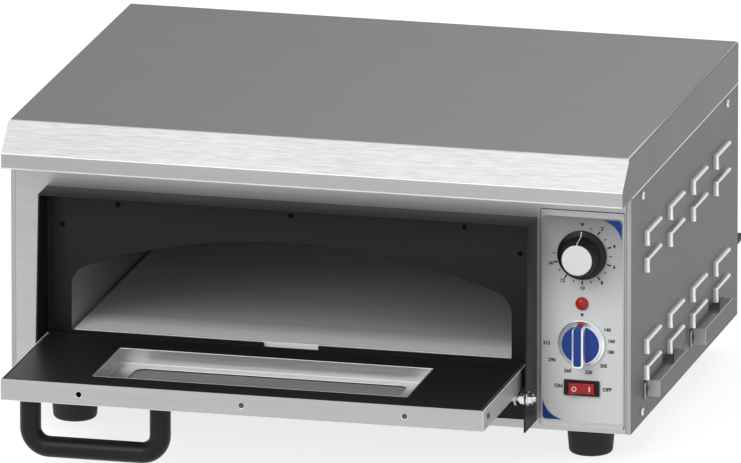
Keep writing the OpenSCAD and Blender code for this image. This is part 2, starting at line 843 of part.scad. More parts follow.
// The thermostat's bulb under the chamber's ceiling and the thin tube that leads to it
module thermostat_sensor() {
    x = controls_x;
    wall = surround_x + chamber_w / 2;
    z = plate_z + thermostat_up;
    back = sheet_t + 34;
    color("#b87333") in_frame() {
        translate([x, 0, z]) y_rod(capillary_d, back, sensor_y);
        translate([x, sensor_y, z]) sphere(d = capillary_d);
        translate([x, sensor_y, z]) cylinder(d = capillary_d, h = sensor_z - z);
        translate([x, sensor_y, sensor_z]) sphere(d = capillary_d);
        translate([0, sensor_y, sensor_z]) x_rod(capillary_d, wall - 4, x);
        translate([wall - 4, 0, sensor_z]) y_rod(5, sensor_y - 80, sensor_y + 3);
    }
}

module pilot_lens() {
    r = lamp_d / 2;
    color("#c8343a") at_control(lamp_up) translate([0, 0, -control_front]) rotate_extrude()
        polygon(concat([[0, 0], [r, 0], [r, 1.2]], arc([r - 2.4, 1.2], 2.4, 0, 70, 5), [[0, 4]]));
}

module pilot_body() {
    color("#d9d6cc") at_control(lamp_up) translate([0, 0, -sheet_t - 22])
        cylinder(d = 9, h = 22 + sheet_t - control_front);
}

// The switch's frame and its box, with a round trough in which the rocker swings
module switch_body() {
    axis = -rocker_axis_y;
    front = -control_front;
    color("#1a1a1a") at_control(switch_up) difference() {
        union() {
            translate([0, 0, front]) linear_extrude(2.2) round_rect(switch_w, switch_h, 1);
            span([-switch_w / 2 + 2, -switch_h / 2 + 1.4, -20], [switch_w / 2 - 2, switch_h / 2 - 1.4, front]);
            for (x = [-9, 0, 9]) span([x - 0.4, -3, -28], [x + 0.4, 3, -19]);
        }
        translate([0, 0, axis]) rotate([90, 0, 0]) translate([0, 0, -rocker_h / 2 - rocker_gap])
            cylinder(r = rocker_r + rocker_gap, h = rocker_h + 2 * rocker_gap);
    }
}

// The rocker, a piece of a cylinder with a shallow valley in its face
module switch_rocker() {
    axis = -rocker_axis_y;
    tilt = rocker_swing / 2;
    wing = rocker_r * 2;
    color("#c8343a") at_control(switch_up) translate([0, 0, axis]) rotate([0, tilt, 0])
        rotate([90, 0, 0]) translate([0, 0, -rocker_h / 2]) linear_extrude(rocker_h) intersection() {
            circle(r = rocker_r);
            polygon([[-wing, -wing], [wing, -wing], [wing, rocker_peak + wing * tan(tilt)],
                     [0, rocker_peak], [-wing, rocker_peak + wing * tan(tilt)]]);
        }
}

module terminal_block() {
    color("#e8e4d8") in_frame() translate([controls_x - 20, body_d - 110, base_z + sheet_t])
        difference() {
            union() {
                cube([40, 22, 8]);
                for (i = [0:3]) translate([i * 10.4, 2, 0]) cube([8.8, 18, 18]);
            }
            for (i = [0:3]) translate([i * 10.4 + 4.4, 11, 9]) cylinder(d = 4, h = 12);
        }
}

// The bush in the back through which the mains lead leaves
module cord_gland() {
    color("#1a1a1a") in_frame() translate([gland_x, 0, gland_z]) difference() {
        union() {
            y_rod(gland_d - 0.2, body_d - 14, body_d);
            y_rod(gland_flange_d, body_d - sheet_t, body_d + 3);
            y_rod(14, body_d, body_d + 10);
            intersection() {
                y_rod(gland_flange_d, body_d - 8, body_d - 2 * sheet_t);
                span([-20, body_d - 9, -6], [20, body_d, 6]);
            }
        }
        y_rod(gland_bore_d, body_d - 20, body_d + 20);
    }
}

// Outer and inner parts of the two hinges, mirrored about the door's middle
module hinge_sides() {
    on_hinge() both_sides() children();
}

module hinge_bolts() {
    wall = surround_w / 2;
    washer_t = 1;
    color("#cfcfcf") hinge_sides() {
        x_rod(bolt_d, ear_x - 3, wall + washer_t);
        translate([wall + washer_t, 0, 0]) rotate([0, 90, 0]) cylinder(d = 11, h = 4, $fn = 6);
        x_rod(bolt_d - 0.6, wall + washer_t + 4, wall + washer_t + 6.5);
    }
}

module hinge_washers() {
    wall = surround_w / 2;
    color("#bdbdbd") hinge_sides() difference() {
        union() {
            x_rod(13, wall, wall + 1);
            x_rod(12, wall - surround_t - 0.8, wall - surround_t);
        }
        x_rod(bolt_d, ear_x, wall + 5);
    }
}

module hinge_nuts() {
    inner = surround_w / 2 - surround_t - 0.8;
    color("#cfcfcf") hinge_sides() difference() {
        translate([inner - 4, 0, 0]) rotate([0, 90, 0]) cylinder(d = 10.6, h = 4, $fn = 6);
        x_rod(bolt_d, inner - 6, inner + 1);
    }
}

// The door's clear opening, about its own middle
module window_opening(grow) {
    translate([0, window_y, 0]) linear_extrude(60, center = true)
        round_rect(window_w + 2 * grow, window_l + 2 * grow, window_r + grow);
}

// Stainless outer skin of the door with walls on all four sides
module door_pan() {
    half = door_w / 2;
    color("#b9bab8") on_hinge() difference() {
        span([-half, door_front, door_face_z], [half, door_tail, door_inner_z]);
        span([-half + sheet_t, door_front + sheet_t, door_face_z + sheet_t],
             [half - sheet_t, door_tail - sheet_t, door_inner_z + 1]);
        window_opening(0);
        for (i = [-1:1]) translate([i * door_screw_pitch, 0, door_face_z + door_t / 2])
            y_rod(door_screw_d, door_front - 1, door_front + 2);
        for (s = [-1, 1]) translate([handle_x + s * handle_span / 2, handle_y, 0]) cylinder(d = 5.4, h = 20);
        hinge_rivet_places() cylinder(d = rivet_d, h = 20);
    }
}

// Black inner sheet of the door, a shallow tray let into the pan
module door_inner_panel() {
    side = door_w / 2 - sheet_t - door_groove;
    front = door_front + sheet_t + sheet_gap;
    back = door_tail - sheet_t - sheet_gap;
    low = door_inner_z - 6;
    color("#232323") on_hinge() difference() {
        span([-side, front, low], [side, back, door_inner_z]);
        span([-side + sheet_t, front + sheet_t, low - 1],
             [side - sheet_t, back - sheet_t, door_inner_z - sheet_t]);
        span([-recess_w / 2, recess_y, low - 2],
             [recess_w / 2, recess_y + recess_l, door_inner_z + 1]);
    }
}

// Two of the three holes in the door's upper edge hold a screw, the left one is open
module door_screws() {
    color("#6f6f6f") on_hinge() for (i = [0, 1])
        translate([i * door_screw_pitch, 0, door_face_z + door_t / 2])
            y_rod(door_screw_d - 0.2, door_front + 0.5, door_front + 5);
}

// Bright pressed frame of the window: rim under the inner sheet, walls and floor
module window_frame() {
    w = recess_w / 2;
    rim_z = door_inner_z - sheet_t;
    wall_gap = 0.1;
    color("#c8c8c5") on_hinge() difference() {
        union() {
            span([-w - frame_rim, recess_y - frame_rim, rim_z - frame_t],
                 [w + frame_rim, recess_y + recess_l + frame_rim, rim_z]);
            span([-w + wall_gap, recess_y + wall_gap, recess_floor_z - frame_t],
                 [w - wall_gap, recess_y + recess_l - wall_gap, door_inner_z]);
        }
        span([-w + wall_gap + frame_t, recess_y + wall_gap + frame_t, recess_floor_z],
             [w - wall_gap - frame_t, recess_y + recess_l - wall_gap - frame_t, door_inner_z + 1]);
        window_opening(0);
    }
}

module glass_plan(grow) {
    translate([0, window_y, 0])
        square([window_w + 2 * (glass_border + grow), window_l + 2 * (glass_border + grow)], center = true);
}

module window_glass() {
    low = recess_floor_z - frame_t - seal_gap - glass_t;
    color([0.55, 0.6, 0.6, 0.4]) on_hinge() translate([0, 0, low]) linear_extrude(glass_t) glass_plan(0);
}

module window_seal() {
    low = door_face_z + sheet_t;
    top = recess_floor_z - frame_t;
    color("#2b2b2b") on_hinge() translate([0, 0, low]) linear_extrude(top - low) difference() {
        glass_plan(seal_w);
        glass_plan(0.1);
    }
}

// Bent tube handle, its two legs square on the door's face
module door_handle() {
    half = handle_span / 2;
    straight = handle_reach - handle_bend;
    color("#1c1c1c") on_hinge() translate([handle_x, handle_y, door_face_z]) difference() {
        union() {
            for (s = [-1, 1]) translate([s * half, 0, -straight]) cylinder(d = handle_d, h = straight);
            translate([0, 0, -handle_reach]) x_rod(handle_d, -half + handle_bend, half - handle_bend);
            for (s = [0, 1]) mirror([s, 0, 0]) translate([half - handle_bend, 0, -straight])
                rotate([90, 90, 0]) rotate_extrude(angle = 90)
                    translate([handle_bend, 0]) circle(d = handle_d);
        }
        for (s = [-1, 1]) translate([s * half, 0, -plug_depth]) cylinder(d = 5, h = plug_depth + 1);
    }
}

module handle_screws() {
    color("#9c9c9c") on_hinge() for (s = [-1, 1])
        translate([handle_x + s * handle_span / 2, handle_y, door_face_z]) {
            translate([0, 0, -plug_depth + 1]) cylinder(d = 4.9, h = plug_depth + sheet_t);
            translate([0, 0, sheet_t]) cylinder(d = 9, h = 3);
        }
}

// The rivets that hold an ear to the pan, on both sides
module hinge_rivet_places() {
    for (s = [-1, 1], y = [-1, 1])
        translate([s * (ear_x - ear_foot_w / 2 + ear_t / 2), ear_foot_y + y * rivet_pitch / 2, 0]) children();
}

// Folded ears under the door's face, each with the hole for its hinge bolt
module hinge_ears() {
    color("#b0b0b0") on_hinge() difference() {
        both_sides() {
            x_rod(2 * ear_r, ear_x, ear_x + ear_t);
            span([ear_x, -ear_r, 0], [ear_x + ear_t, ear_r, door_face_z]);
            span([ear_x + ear_t - ear_foot_w, ear_foot_y - ear_l / 2, door_face_z - ear_t],
                 [ear_x + ear_t, ear_foot_y + ear_l / 2, door_face_z]);
        }
        both_sides() x_rod(bolt_d + 2 * run_play, ear_x - 20, ear_x + 20);
        hinge_rivet_places() cylinder(d = rivet_d, h = 20);
    }
}

module hinge_rivets() {
    color("#9c9c9c") on_hinge() hinge_rivet_places() {
        translate([0, 0, door_face_z - ear_t]) cylinder(d = rivet_d - 0.1, h = ear_t + sheet_t);
        translate([0, 0, door_face_z + sheet_t]) cylinder(d = rivet_head_d, h = rivet_head_h);
    }
}

// Round knob with a broad skirt, its axis along the shaft
module timer_knob() {
    skirt = timer_d / 2;
    neck = timer_cap_d / 2 + 3.4;
    top = timer_cap_d / 2 + 1;
    color("#1b1b1b") at_control(timer_up) translate([0, 0, knob_gap - control_front]) difference() {
        rotate_extrude() polygon(concat(
            [[0, 0], [skirt, 0], [skirt, 2.2]],
            arc([skirt - 0.8, 2.2], 0.8, 0, 90, 3),
            arc([neck + 1.6, 4.6], 1.6, 270, 180, 4),
            arc([top - 0.2, timer_depth - 1.2], 1.2, 0, 90, 4),
            [[0, timer_depth]]
        ));
        translate([0, 0, -1]) cylinder(d = shaft_d, h = 13);
        translate([0, 0, timer_depth - 1.5]) cylinder(d = timer_cap_d + 0.2, h = 3);
    }
}

module timer_cap() {
    r = timer_cap_d / 2;
    color("#ececec") at_control(timer_up)
        translate([0, 0, knob_gap - control_front + timer_depth - 1.5]) rotate_extrude()
            polygon(concat([[0, 0], [r, 0]], arc([r - 0.8, 1.6], 0.8, 0, 90, 3), [[0, 2.4]]));
}

module timer_shaft() {
    color("#c9c9c9") at_control(timer_up) translate([0, 0, -sheet_t - 11])
        cylinder(d = shaft_d, h = sheet_t + 11 - control_front + knob_gap + 11);
}

// Bright skirt of the thermostat knob, dished towards its rim
module thermostat_skirt() {
    r = thermostat_d / 2;
    face = thermostat_face_d / 2;
    color("#d8d9da") at_control(thermostat_up) translate([0, 0, knob_gap - control_front])
        difference() {
            rotate_extrude() polygon(concat(
                [[0, 0], [r, 0], [r, 1.4]],
                arc([r - 0.6, 1.4], 0.6, 0, 60, 2),
                [[face + 0.8, 6.2], [face, 6.6], [face, 5], [0, 5]]
            ));
            translate([0, 0, -1]) cylinder(d = shaft_d, h = 10);
        }
}

// Coloured face and grip bar of the thermostat knob, with bright edges let in beside it
module thermostat_grip() {
    face = thermostat_face_d / 2 - 0.1;
    bar_w = 10.6;
    bar_l = thermostat_face_d + 3;
    bar_h = 14;
    color("#3553a8") at_control(thermostat_up) translate([0, 0, knob_gap - control_front + 5])
        difference() {
            union() {
                cylinder(r = face, h = 1.8);
                translate([0, 0, 1.8]) linear_extrude(bar_h - 1.8) intersection() {
                    square([bar_w, bar_l], center = true);
                    circle(d = bar_l);
                }
            }
            translate([0, 0, -1]) cylinder(d = shaft_d, h = 7);
        }
}

module thermostat_shaft() {
    color("#c9c9c9") at_control(thermostat_up) translate([0, 0, -sheet_t - 11])
        cylinder(d = shaft_d, h = sheet_t + 11 - control_front + knob_gap + 10);
}

top_cover();
left_side_panel();
right_side_panel();
rear_panel();
base_panel();
front_panel();
side_rails();
panel_screws();
feet();
foot_screws();
side_brackets();
rear_spacers();
door_surround();
surround_rivets();
chamber_liner();
chamber_supports();
deck_rails();
deck_plate();
upper_heater();
lower_heater();
heater_clips();
insulation();
bay_shield();
control_plate();
control_label();
timer_body();
thermostat_body();
thermostat_sensor();
pilot_lens();
pilot_body();
switch_body();
terminal_block();
cord_gland();
hinge_bolts();
hinge_nuts();
hinge_washers();
door_pan();
door_inner_panel();
door_screws();
window_frame();
window_glass();
window_seal();
door_handle();
handle_screws();
hinge_ears();
hinge_rivets();
timer_knob();
timer_cap();
timer_shaft();
thermostat_skirt();
thermostat_grip();
thermostat_shaft();
switch_rocker();
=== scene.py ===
import json
import math
import bpy
from mathutils import Matrix, Vector

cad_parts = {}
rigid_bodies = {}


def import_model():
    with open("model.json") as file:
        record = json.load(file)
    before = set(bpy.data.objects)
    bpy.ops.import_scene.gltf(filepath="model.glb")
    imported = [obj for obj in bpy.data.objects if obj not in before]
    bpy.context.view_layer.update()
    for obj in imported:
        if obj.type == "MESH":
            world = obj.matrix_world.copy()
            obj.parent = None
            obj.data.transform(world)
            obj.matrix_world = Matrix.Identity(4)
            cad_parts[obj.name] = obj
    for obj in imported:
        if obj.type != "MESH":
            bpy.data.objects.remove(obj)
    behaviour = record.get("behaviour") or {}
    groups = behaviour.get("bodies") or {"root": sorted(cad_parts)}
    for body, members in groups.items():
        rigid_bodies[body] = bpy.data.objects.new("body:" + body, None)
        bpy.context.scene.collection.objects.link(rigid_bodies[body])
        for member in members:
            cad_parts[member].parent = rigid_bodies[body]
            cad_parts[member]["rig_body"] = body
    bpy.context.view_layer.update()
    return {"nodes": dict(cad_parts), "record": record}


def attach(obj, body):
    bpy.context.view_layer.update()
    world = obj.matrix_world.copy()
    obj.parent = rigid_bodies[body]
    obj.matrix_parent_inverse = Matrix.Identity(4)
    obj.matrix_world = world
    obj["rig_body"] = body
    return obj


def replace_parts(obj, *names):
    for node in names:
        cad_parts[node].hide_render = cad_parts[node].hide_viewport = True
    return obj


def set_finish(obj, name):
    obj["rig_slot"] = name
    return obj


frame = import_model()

mm = 0.001
hair = 0.01 * mm                 # closer than this counts as the same place
place = {
    "frontY": -0.1301,           # plane of the front panel
    "backY": 0.2829,             # rear face of the side panels' turned edges
    "labelY": -0.1314,           # face of the printed label
    "wallX": 0.2800,             # outer face of the side panels
    "middleZ": 0.15,             # middle height of the front
    "controlsX": 0.2365,         # line of the knobs
    "timerZ": 0.1908,
    "lampZ": 0.1467,
    "thermostatZ": 0.1109,
    "switchZ": 0.0704,
}


def inMm(points):
    return [tuple(value * mm for value in point) for point in points]


# selecting and shaping

def clearSelection():
    active = bpy.context.view_layer.objects.active
    if active and active.mode != 'OBJECT':
        bpy.ops.object.mode_set(mode='OBJECT')
    bpy.ops.object.select_all(action='DESELECT')


def selectOnly(piece):
    clearSelection()
    bpy.context.view_layer.objects.active = piece
    piece.select_set(True)


def editAll():
    bpy.ops.object.mode_set(mode='EDIT')
    bpy.ops.mesh.select_all(action='SELECT')


def finishEdit():
    bpy.ops.mesh.select_all(action='SELECT')
    bpy.ops.mesh.normals_make_consistent(inside=False)
    bpy.ops.object.mode_set(mode='OBJECT')


def pickNone(kind):
    # turns selecting to faces or edges, with none of them selected
    bpy.ops.object.mode_set(mode='EDIT')
    bpy.ops.mesh.select_mode(type=kind)
    bpy.ops.mesh.select_all(action='DESELECT')
    bpy.ops.object.mode_set(mode='OBJECT')


def pickEdges(piece, wanted):
    # leaves edit mode open with only the wanted edges selected
    pickNone('EDGE')
    points = piece.data.vertices
    for edge in piece.data.edges:
        a, b = (points[i].co for i in edge.vertices)
        edge.select = bool(wanted(a, b))
    bpy.ops.object.mode_set(mode='EDIT')


def upright(p, q):
    return abs(p.x - q.x) < hair and abs(p.y - q.y) < hair


def bevelEdges(piece, wanted, offset, segments):
    pickEdges(piece, wanted)
    bpy.ops.mesh.bevel(offset=offset, segments=segments)
    finishEdit()


def bevelTop(piece, offset, segments):
    # rounds the faces that look straight up
    pickNone('FACE')
    for face in piece.data.polygons:
        face.select = face.normal.z > 0.9
    bpy.ops.object.mode_set(mode='EDIT')
    bpy.ops.mesh.bevel(offset=offset, segments=segments)
    finishEdit()


def settle(piece, at=(0, 0, 0), turn=(0, 0, 0), smooth=30):
    # puts the piece's place into its mesh
    selectOnly(piece)
    piece.rotation_euler = turn
    piece.location = at
    bpy.ops.object.transform_apply(location=True, rotation=True, scale=True)
    bpy.ops.object.shade_smooth_by_angle(angle=math.radians(smooth))
    return piece


def fitted(piece, name, body, slotName, *finishes):
    piece.name = name
    piece.data.name = name
    piece.data.materials.clear()
    for finish in finishes:
        piece.data.materials.append(finish)
    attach(piece, body)
    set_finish(piece, slotName)
    return piece


def refinish(piece, number, wanted):
    # gives the wanted faces the finish with this number
    for face in piece.data.polygons:
        if wanted(face):
            face.material_index = number


def duplicate(piece):
    twin = piece.copy()
    twin.data = piece.data.copy()
    bpy.context.collection.objects.link(twin)
    return twin


def copied(piece, name, shift):
    twin = duplicate(piece)
    twin.data.transform(Matrix.Translation(shift))
    twin.name = name
    twin.data.name = name
    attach(twin, piece["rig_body"])
    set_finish(twin, piece["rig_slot"])
    return twin


def joined(pieces):
    clearSelection()
    for piece in pieces:
        piece.select_set(True)
    bpy.context.view_layer.objects.active = pieces[0]
    bpy.ops.object.join()
    return bpy.context.object


def turned(rings, segments):
    # a lathe form along +Z: each ring is (radius, height), drawn out from the last one
    clearSelection()
    r, z = rings[0]
    bpy.ops.mesh.primitive_circle_add(vertices=segments, radius=r, location=(0, 0, z), fill_type='NGON')
    piece = bpy.context.object
    bpy.ops.object.transform_apply(location=True, rotation=False, scale=False)
    editAll()
    for nextR, nextZ in rings[1:]:
        bpy.ops.mesh.extrude_region_move(TRANSFORM_OT_translate={"value": (0, 0, nextZ - z)})
        bpy.ops.transform.resize(value=(nextR / r, nextR / r, 1))
        r, z = nextR, nextZ
    finishEdit()
    return piece


def block(low, high):
    clearSelection()
    middle = [(a + b) / 2 for a, b in zip(low, high)]
    bpy.ops.mesh.primitive_cube_add(size=1, location=middle, scale=[b - a for a, b in zip(low, high)])
    piece = bpy.context.object
    bpy.ops.object.transform_apply(location=True, rotation=True, scale=True)
    return piece


def cutOut(piece, cutters):
    # the cutters are used up
    for cutter in cutters:
        selectOnly(piece)
        cut = piece.modifiers.new("cutOut", 'BOOLEAN')
        cut.operation = 'DIFFERENCE'
        cut.object = cutter
        cut.solver = 'EXACT'
        bpy.ops.object.modifier_apply(modifier=cut.name)
        bpy.data.objects.remove(cutter)
    return piece


def rounded(piece, width, material):
    # the bevel's faces take the finish with this number, or their neighbours' own at -1
    selectOnly(piece)
    bevel = piece.modifiers.new("roundEdges", 'BEVEL')
    bevel.width = width
    bevel.segments = 2
    bevel.limit_method = 'ANGLE'
    bevel.angle_limit = math.radians(40)
    bevel.use_clamp_overlap = False
    bevel.material = material
    bpy.ops.object.modifier_apply(modifier=bevel.name)


def evened(piece, smooth):
    # flat sheets stay flat beside their round edges
    settle(piece, smooth=smooth)
    even = piece.modifiers.new("flatSheets", 'WEIGHTED_NORMAL')
    even.weight = 100
    even.keep_sharp = True
    bpy.ops.object.modifier_apply(modifier=even.name)


def softened(node, name, slotName, width, *finishes, smooth=32, ringFaces=False):
    # a merged copy of a solid with round edges, in its place; flat faces with holes can stay split
    source = frame["nodes"][node]
    body = source["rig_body"]
    piece = duplicate(source)
    for key in list(piece.keys()):
        del piece[key]
    piece.parent = None
    piece.hide_render = piece.hide_viewport = False
    selectOnly(piece)
    editAll()
    bpy.ops.mesh.remove_doubles(threshold=0.004 * mm)
    if not ringFaces:
        bpy.ops.mesh.dissolve_limited(angle_limit=math.radians(0.4))
    bpy.ops.object.mode_set(mode='OBJECT')
    fitted(piece, name, body, slotName, *finishes)
    refinish(piece, 0, lambda face: True)
    if width:
        rounded(piece, width, 1 if len(finishes) > 1 else -1)
    evened(piece, smooth)
    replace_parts(piece, node)
    return piece


# finishes

class Wire:
    def __init__(self, finish, socket):
        self.finish, self.socket = finish, socket

    def sums(self, operation, other, turnedRound=False):
        pair = (other, self) if turnedRound else (self, other)
        return self.finish.add("ShaderNodeMath", {"operation": operation}, {0: pair[0], 1: pair[1]})

    def __add__(self, other): return self.sums('ADD', other)
    def __radd__(self, other): return self.sums('ADD', other, True)
    def __sub__(self, other): return self.sums('SUBTRACT', other)
    def __rsub__(self, other): return self.sums('SUBTRACT', other, True)
    def __mul__(self, other): return self.sums('MULTIPLY', other)
    def __rmul__(self, other): return self.sums('MULTIPLY', other, True)
    def __truediv__(self, other): return self.sums('DIVIDE', other)

    def held(self):
        # kept between 0 and 1
        return self.finish.add("ShaderNodeClamp", sockets={0: self})


class Finish:
    def __init__(self, name, colour, roughness, metallic=0.0):
        self.material = bpy.data.materials.new(name)
        self.material.use_nodes = True
        self.tree = self.material.node_tree
        self.tree.nodes.clear()
        self.shader = self.tree.nodes.new("ShaderNodeBsdfPrincipled")
        out = self.tree.nodes.new("ShaderNodeOutputMaterial")
        self.tree.links.new(self.shader.outputs[0], out.inputs[0])
        self.constant("Base Color", (*colour, 1))
        self.constant("Roughness", roughness)
        self.constant("Metallic", metallic)

    def constant(self, socket, value):
        self.shader.inputs[socket].default_value = value

    def add(self, kind, settings=None, sockets=None, out=0):
        node = self.tree.nodes.new(kind)
        for key, value in (settings or {}).items():
            if key == "stops":
                ramp = node.color_ramp
                while len(ramp.elements) < len(value):
                    ramp.elements.new(0.5)
                for element, (position, colour) in zip(ramp.elements, value):
                    element.position = position
                    element.color = (*colour, 1)
            else:
                setattr(node, key, value)
        for key, value in (sockets or {}).items():
            if isinstance(value, Wire):
                self.tree.links.new(value.socket, node.inputs[key])
            else:
                node.inputs[key].default_value = value
        return Wire(self, node.outputs[out])

    def feed(self, socket, wire):
        self.tree.links.new(wire.socket, self.shader.inputs[socket])

    # patterns that several finishes share
    def noise(self, scale, stretch=(1, 1, 1), detail=2.0, roughness=0.5):
        spot = self.add("ShaderNodeTexCoord", out="Object")
        spot = self.add("ShaderNodeMapping", sockets={"Vector": spot, "Scale": stretch})
        return self.add("ShaderNodeTexNoise", sockets={"Vector": spot, "Scale": scale, "Detail": detail,
                                                       "Roughness": roughness})

    def where(self, axis):
        spot = self.add("ShaderNodeTexCoord", out="Object")
        return self.add("ShaderNodeSeparateXYZ", sockets={0: spot}, out=axis)

    def facing(self, axis):
        normal = self.add("ShaderNodeTexCoord", out="Normal")
        return self.add("ShaderNodeSeparateXYZ", sockets={0: normal}, out=axis)

    def ramp(self, value, stops):
        return self.add("ShaderNodeValToRGB", {"stops": stops}, {0: value})

    def times(self, first, second):
        return self.add("ShaderNodeVectorMath", {"operation": 'MULTIPLY'}, {0: first, 1: second})

    def tint(self, colour, by):
        # colour times a plain number that varies about one
        return self.times(colour, self.add("ShaderNodeCombineXYZ", sockets={0: by, 1: by, 2: by}))

    def mixed(self, amount, *colours):
        first, second = (c if isinstance(c, Wire) else (*c, 1) for c in colours)
        # 6, 7 and 2 are the node's colour sockets
        return self.add("ShaderNodeMix", {"data_type": 'RGBA'}, {0: amount, 6: first, 7: second}, out=2)

    def bump(self, height, strength, distance):
        self.feed("Normal", self.add("ShaderNodeBump", sockets={"Strength": strength, "Distance": distance,
                                                                "Height": height}))


def swing(middle, *noises):
    # a value that each noise moves up and down by its share
    for noise, share in noises:
        middle = (noise - 0.5) * share + middle
    return middle


grain = {"x": (3.0, 260.0, 260.0), "y": (260.0, 3.0, 260.0)}


def steelGrain(finish, along, contrast, smear, roughness, glint=0.12, depth=0.10):
    # fine and broad brush strokes along one axis with faint smears over them; gives back their shade
    fine = finish.noise(1.0, [3.2 * s for s in grain[along]], roughness=0.6)
    broad = finish.noise(1.0, [0.9 * s for s in grain[along]])
    cloud = finish.noise(7.0)
    finish.feed("Roughness", swing(roughness, (fine, glint), (cloud, 0.06)))
    finish.bump(fine + broad, depth, 0.03 * mm)
    return swing(1.0, (fine, contrast), (broad, contrast * 1.3), (cloud, smear))


def brushedSteel(name, colour, along, contrast, roughness, metallic=0.85, smear=0.10, paintedDepthShade=None, paintedLowLight=0.0):
    finish = Finish(name, colour, roughness, metallic)
    shade = steelGrain(finish, along, contrast, smear, roughness)
    if paintedLowLight:
        # painted light: lighter towards the foot
        shade = shade + (place["middleZ"] - finish.where("Z")) * paintedLowLight
    if paintedDepthShade:
        # painted shade behind the front, by the distance in from the mouth
        paintedShade = finish.ramp((finish.where("Y") - place["frontY"]) / deckReach, paintedDepthShade)
        colour = finish.times(paintedShade, colour)
    finish.feed("Base Color", finish.tint(colour, shade))
    return finish.material


def coverSteel(name, stops, roughness):
    # the cover's sheet: painted light and shade by how far it faces up, with brush streaks on its slope
    finish = Finish(name, (0.25, 0.25, 0.245), roughness, 0.85)
    shade = steelGrain(finish, "x", 0.08, 0.10, roughness)
    up, side = finish.facing("Z"), finish.facing("X")
    level = (up * 12.0 - 11.0).held()                    # 1 on the level top only
    slope = ((up - 0.5) * 4.0).held() * (1.0 - level)
    streak = finish.noise(1.0, (48, 920, 920), roughness=0.6)
    # painted reflection: the sheet grows lighter towards +X, most on the level top
    shade = shade + (streak - 0.5) * 0.72 * slope + finish.where("X") * (level * 0.6 + 0.2)
    paintedLightByFacing = finish.ramp(up * 0.5 + 0.5, stops)
    # painted shade: darker on the flanges that face sideways or back
    paintedFlangeShade = side * side * 0.905 + finish.facing("Y").held() * 0.70       # flanges at the sides and the back
    finish.feed("Base Color", finish.tint(finish.tint(paintedLightByFacing, 1.0 - paintedFlangeShade), shade))
    return finish.material


def sideSteel(name, flat, frontEdgeHighlight, pressedHighlight, roughness):
    # painted light by facing: the flat wall is dark, a painted shade; faces turned up or forward take a painted
    # highlight, grey near the panel's front edge and bright on the louvres behind it
    finish = Finish(name, flat, roughness, 0.85)
    shade = steelGrain(finish, "y", 0.03, 0.08, roughness, glint=0.10, depth=0.06)
    outward = finish.facing("Z").sums('MAXIMUM', finish.facing("Y") * -1.0)
    behind = ((finish.where("Y") - (place["frontY"] + 4 * mm)) * 500.0).held()
    paintedHighlightMask = (outward * 3.2 - 0.3).held()
    bright = finish.mixed(behind, frontEdgeHighlight, pressedHighlight)
    finish.feed("Base Color", finish.tint(finish.mixed(paintedHighlightMask, flat, bright), shade))
    return finish.material


def powderSheet(name, colour, roughness, speck=0.12, specular=0.5):
    finish = Finish(name, colour, roughness)
    finish.constant("Specular IOR Level", specular)
    speckle, cloud = finish.noise(900.0, roughness=0.6), finish.noise(9.0)
    finish.feed("Base Color", finish.tint(colour, swing(1.0, (speckle, speck), (cloud, 0.16))))
    finish.feed("Roughness", swing(roughness, (speckle, 0.12), (cloud, 0.10)))
    finish.bump(speckle, 0.25, 0.06 * mm)
    return finish.material


def mouldedPlastic(name, colour, roughness, coat=0.0, grainScale=1400.0, speck=0.05, specular=0.5):
    finish = Finish(name, colour, roughness)
    finish.constant("Specular IOR Level", specular)
    finish.constant("Coat Weight", coat)
    speckle, cloud = finish.noise(grainScale, roughness=0.6), finish.noise(60.0)
    finish.feed("Base Color", finish.tint(colour, swing(1.0, (speckle, speck), (cloud, 0.06))))
    finish.feed("Roughness", swing(roughness, (speckle, 0.10), (cloud, 0.08)))
    finish.bump(speckle, 0.12, 0.03 * mm)
    return finish.material


def brightMetal(name, colour, roughness, contrast=0.05):
    finish = Finish(name, colour, roughness, 1.0)
    fine = finish.noise(1.0, (300, 300, 300), roughness=0.6)
    finish.feed("Base Color", finish.tint(colour, swing(1.0, (fine, contrast))))
    finish.feed("Roughness", swing(roughness, (fine, 0.10)))
    finish.bump(fine, 0.06, 0.02 * mm)
    return finish.material


def labelSheet(name, colour, roughness, heights):
    # printed film with a painted shadow that deepens towards its upper end, under the cover's lip
    finish = Finish(name, colour, roughness)
    finish.constant("Specular IOR Level", 0.30)
    cloud = finish.noise(9.0)
    paintedShadow = finish.ramp((finish.where("Z") - labelBox["low"]) / (labelBox["high"] - labelBox["low"]), heights)
    finish.feed("Base Color", finish.tint(finish.times(paintedShadow, colour), swing(1.0, (cloud, 0.10))))
    finish.feed("Roughness", swing(roughness, (cloud, 0.10)))
    return finish.material


def rockWool(name, colour):
    finish = Finish(name, colour, 0.95)
    strands = finish.noise(260.0, (1, 1, 3), 6.0, 0.7)
    cloud = finish.noise(25.0, detail=3.0)
    finish.feed("Base Color", finish.tint(colour, swing(1.0, (strands, 0.7), (cloud, 0.3))))
    finish.bump(strands, 0.9, 2 * mm)
    return finish.material


def clearGlass(name, colour, roughness):
    finish = Finish(name, colour, roughness)
    finish.constant("Transmission Weight", 1.0)
    finish.constant("IOR", 1.25)                     # mirrors less at the low angle it is seen from
    dust = finish.noise(40.0, detail=3.0)
    finish.feed("Roughness", (dust - 0.45) * 0.08 + roughness)
    return finish.material


def greyStops(*stops):
    return [(position, (level, level, level)) for position, level in stops]


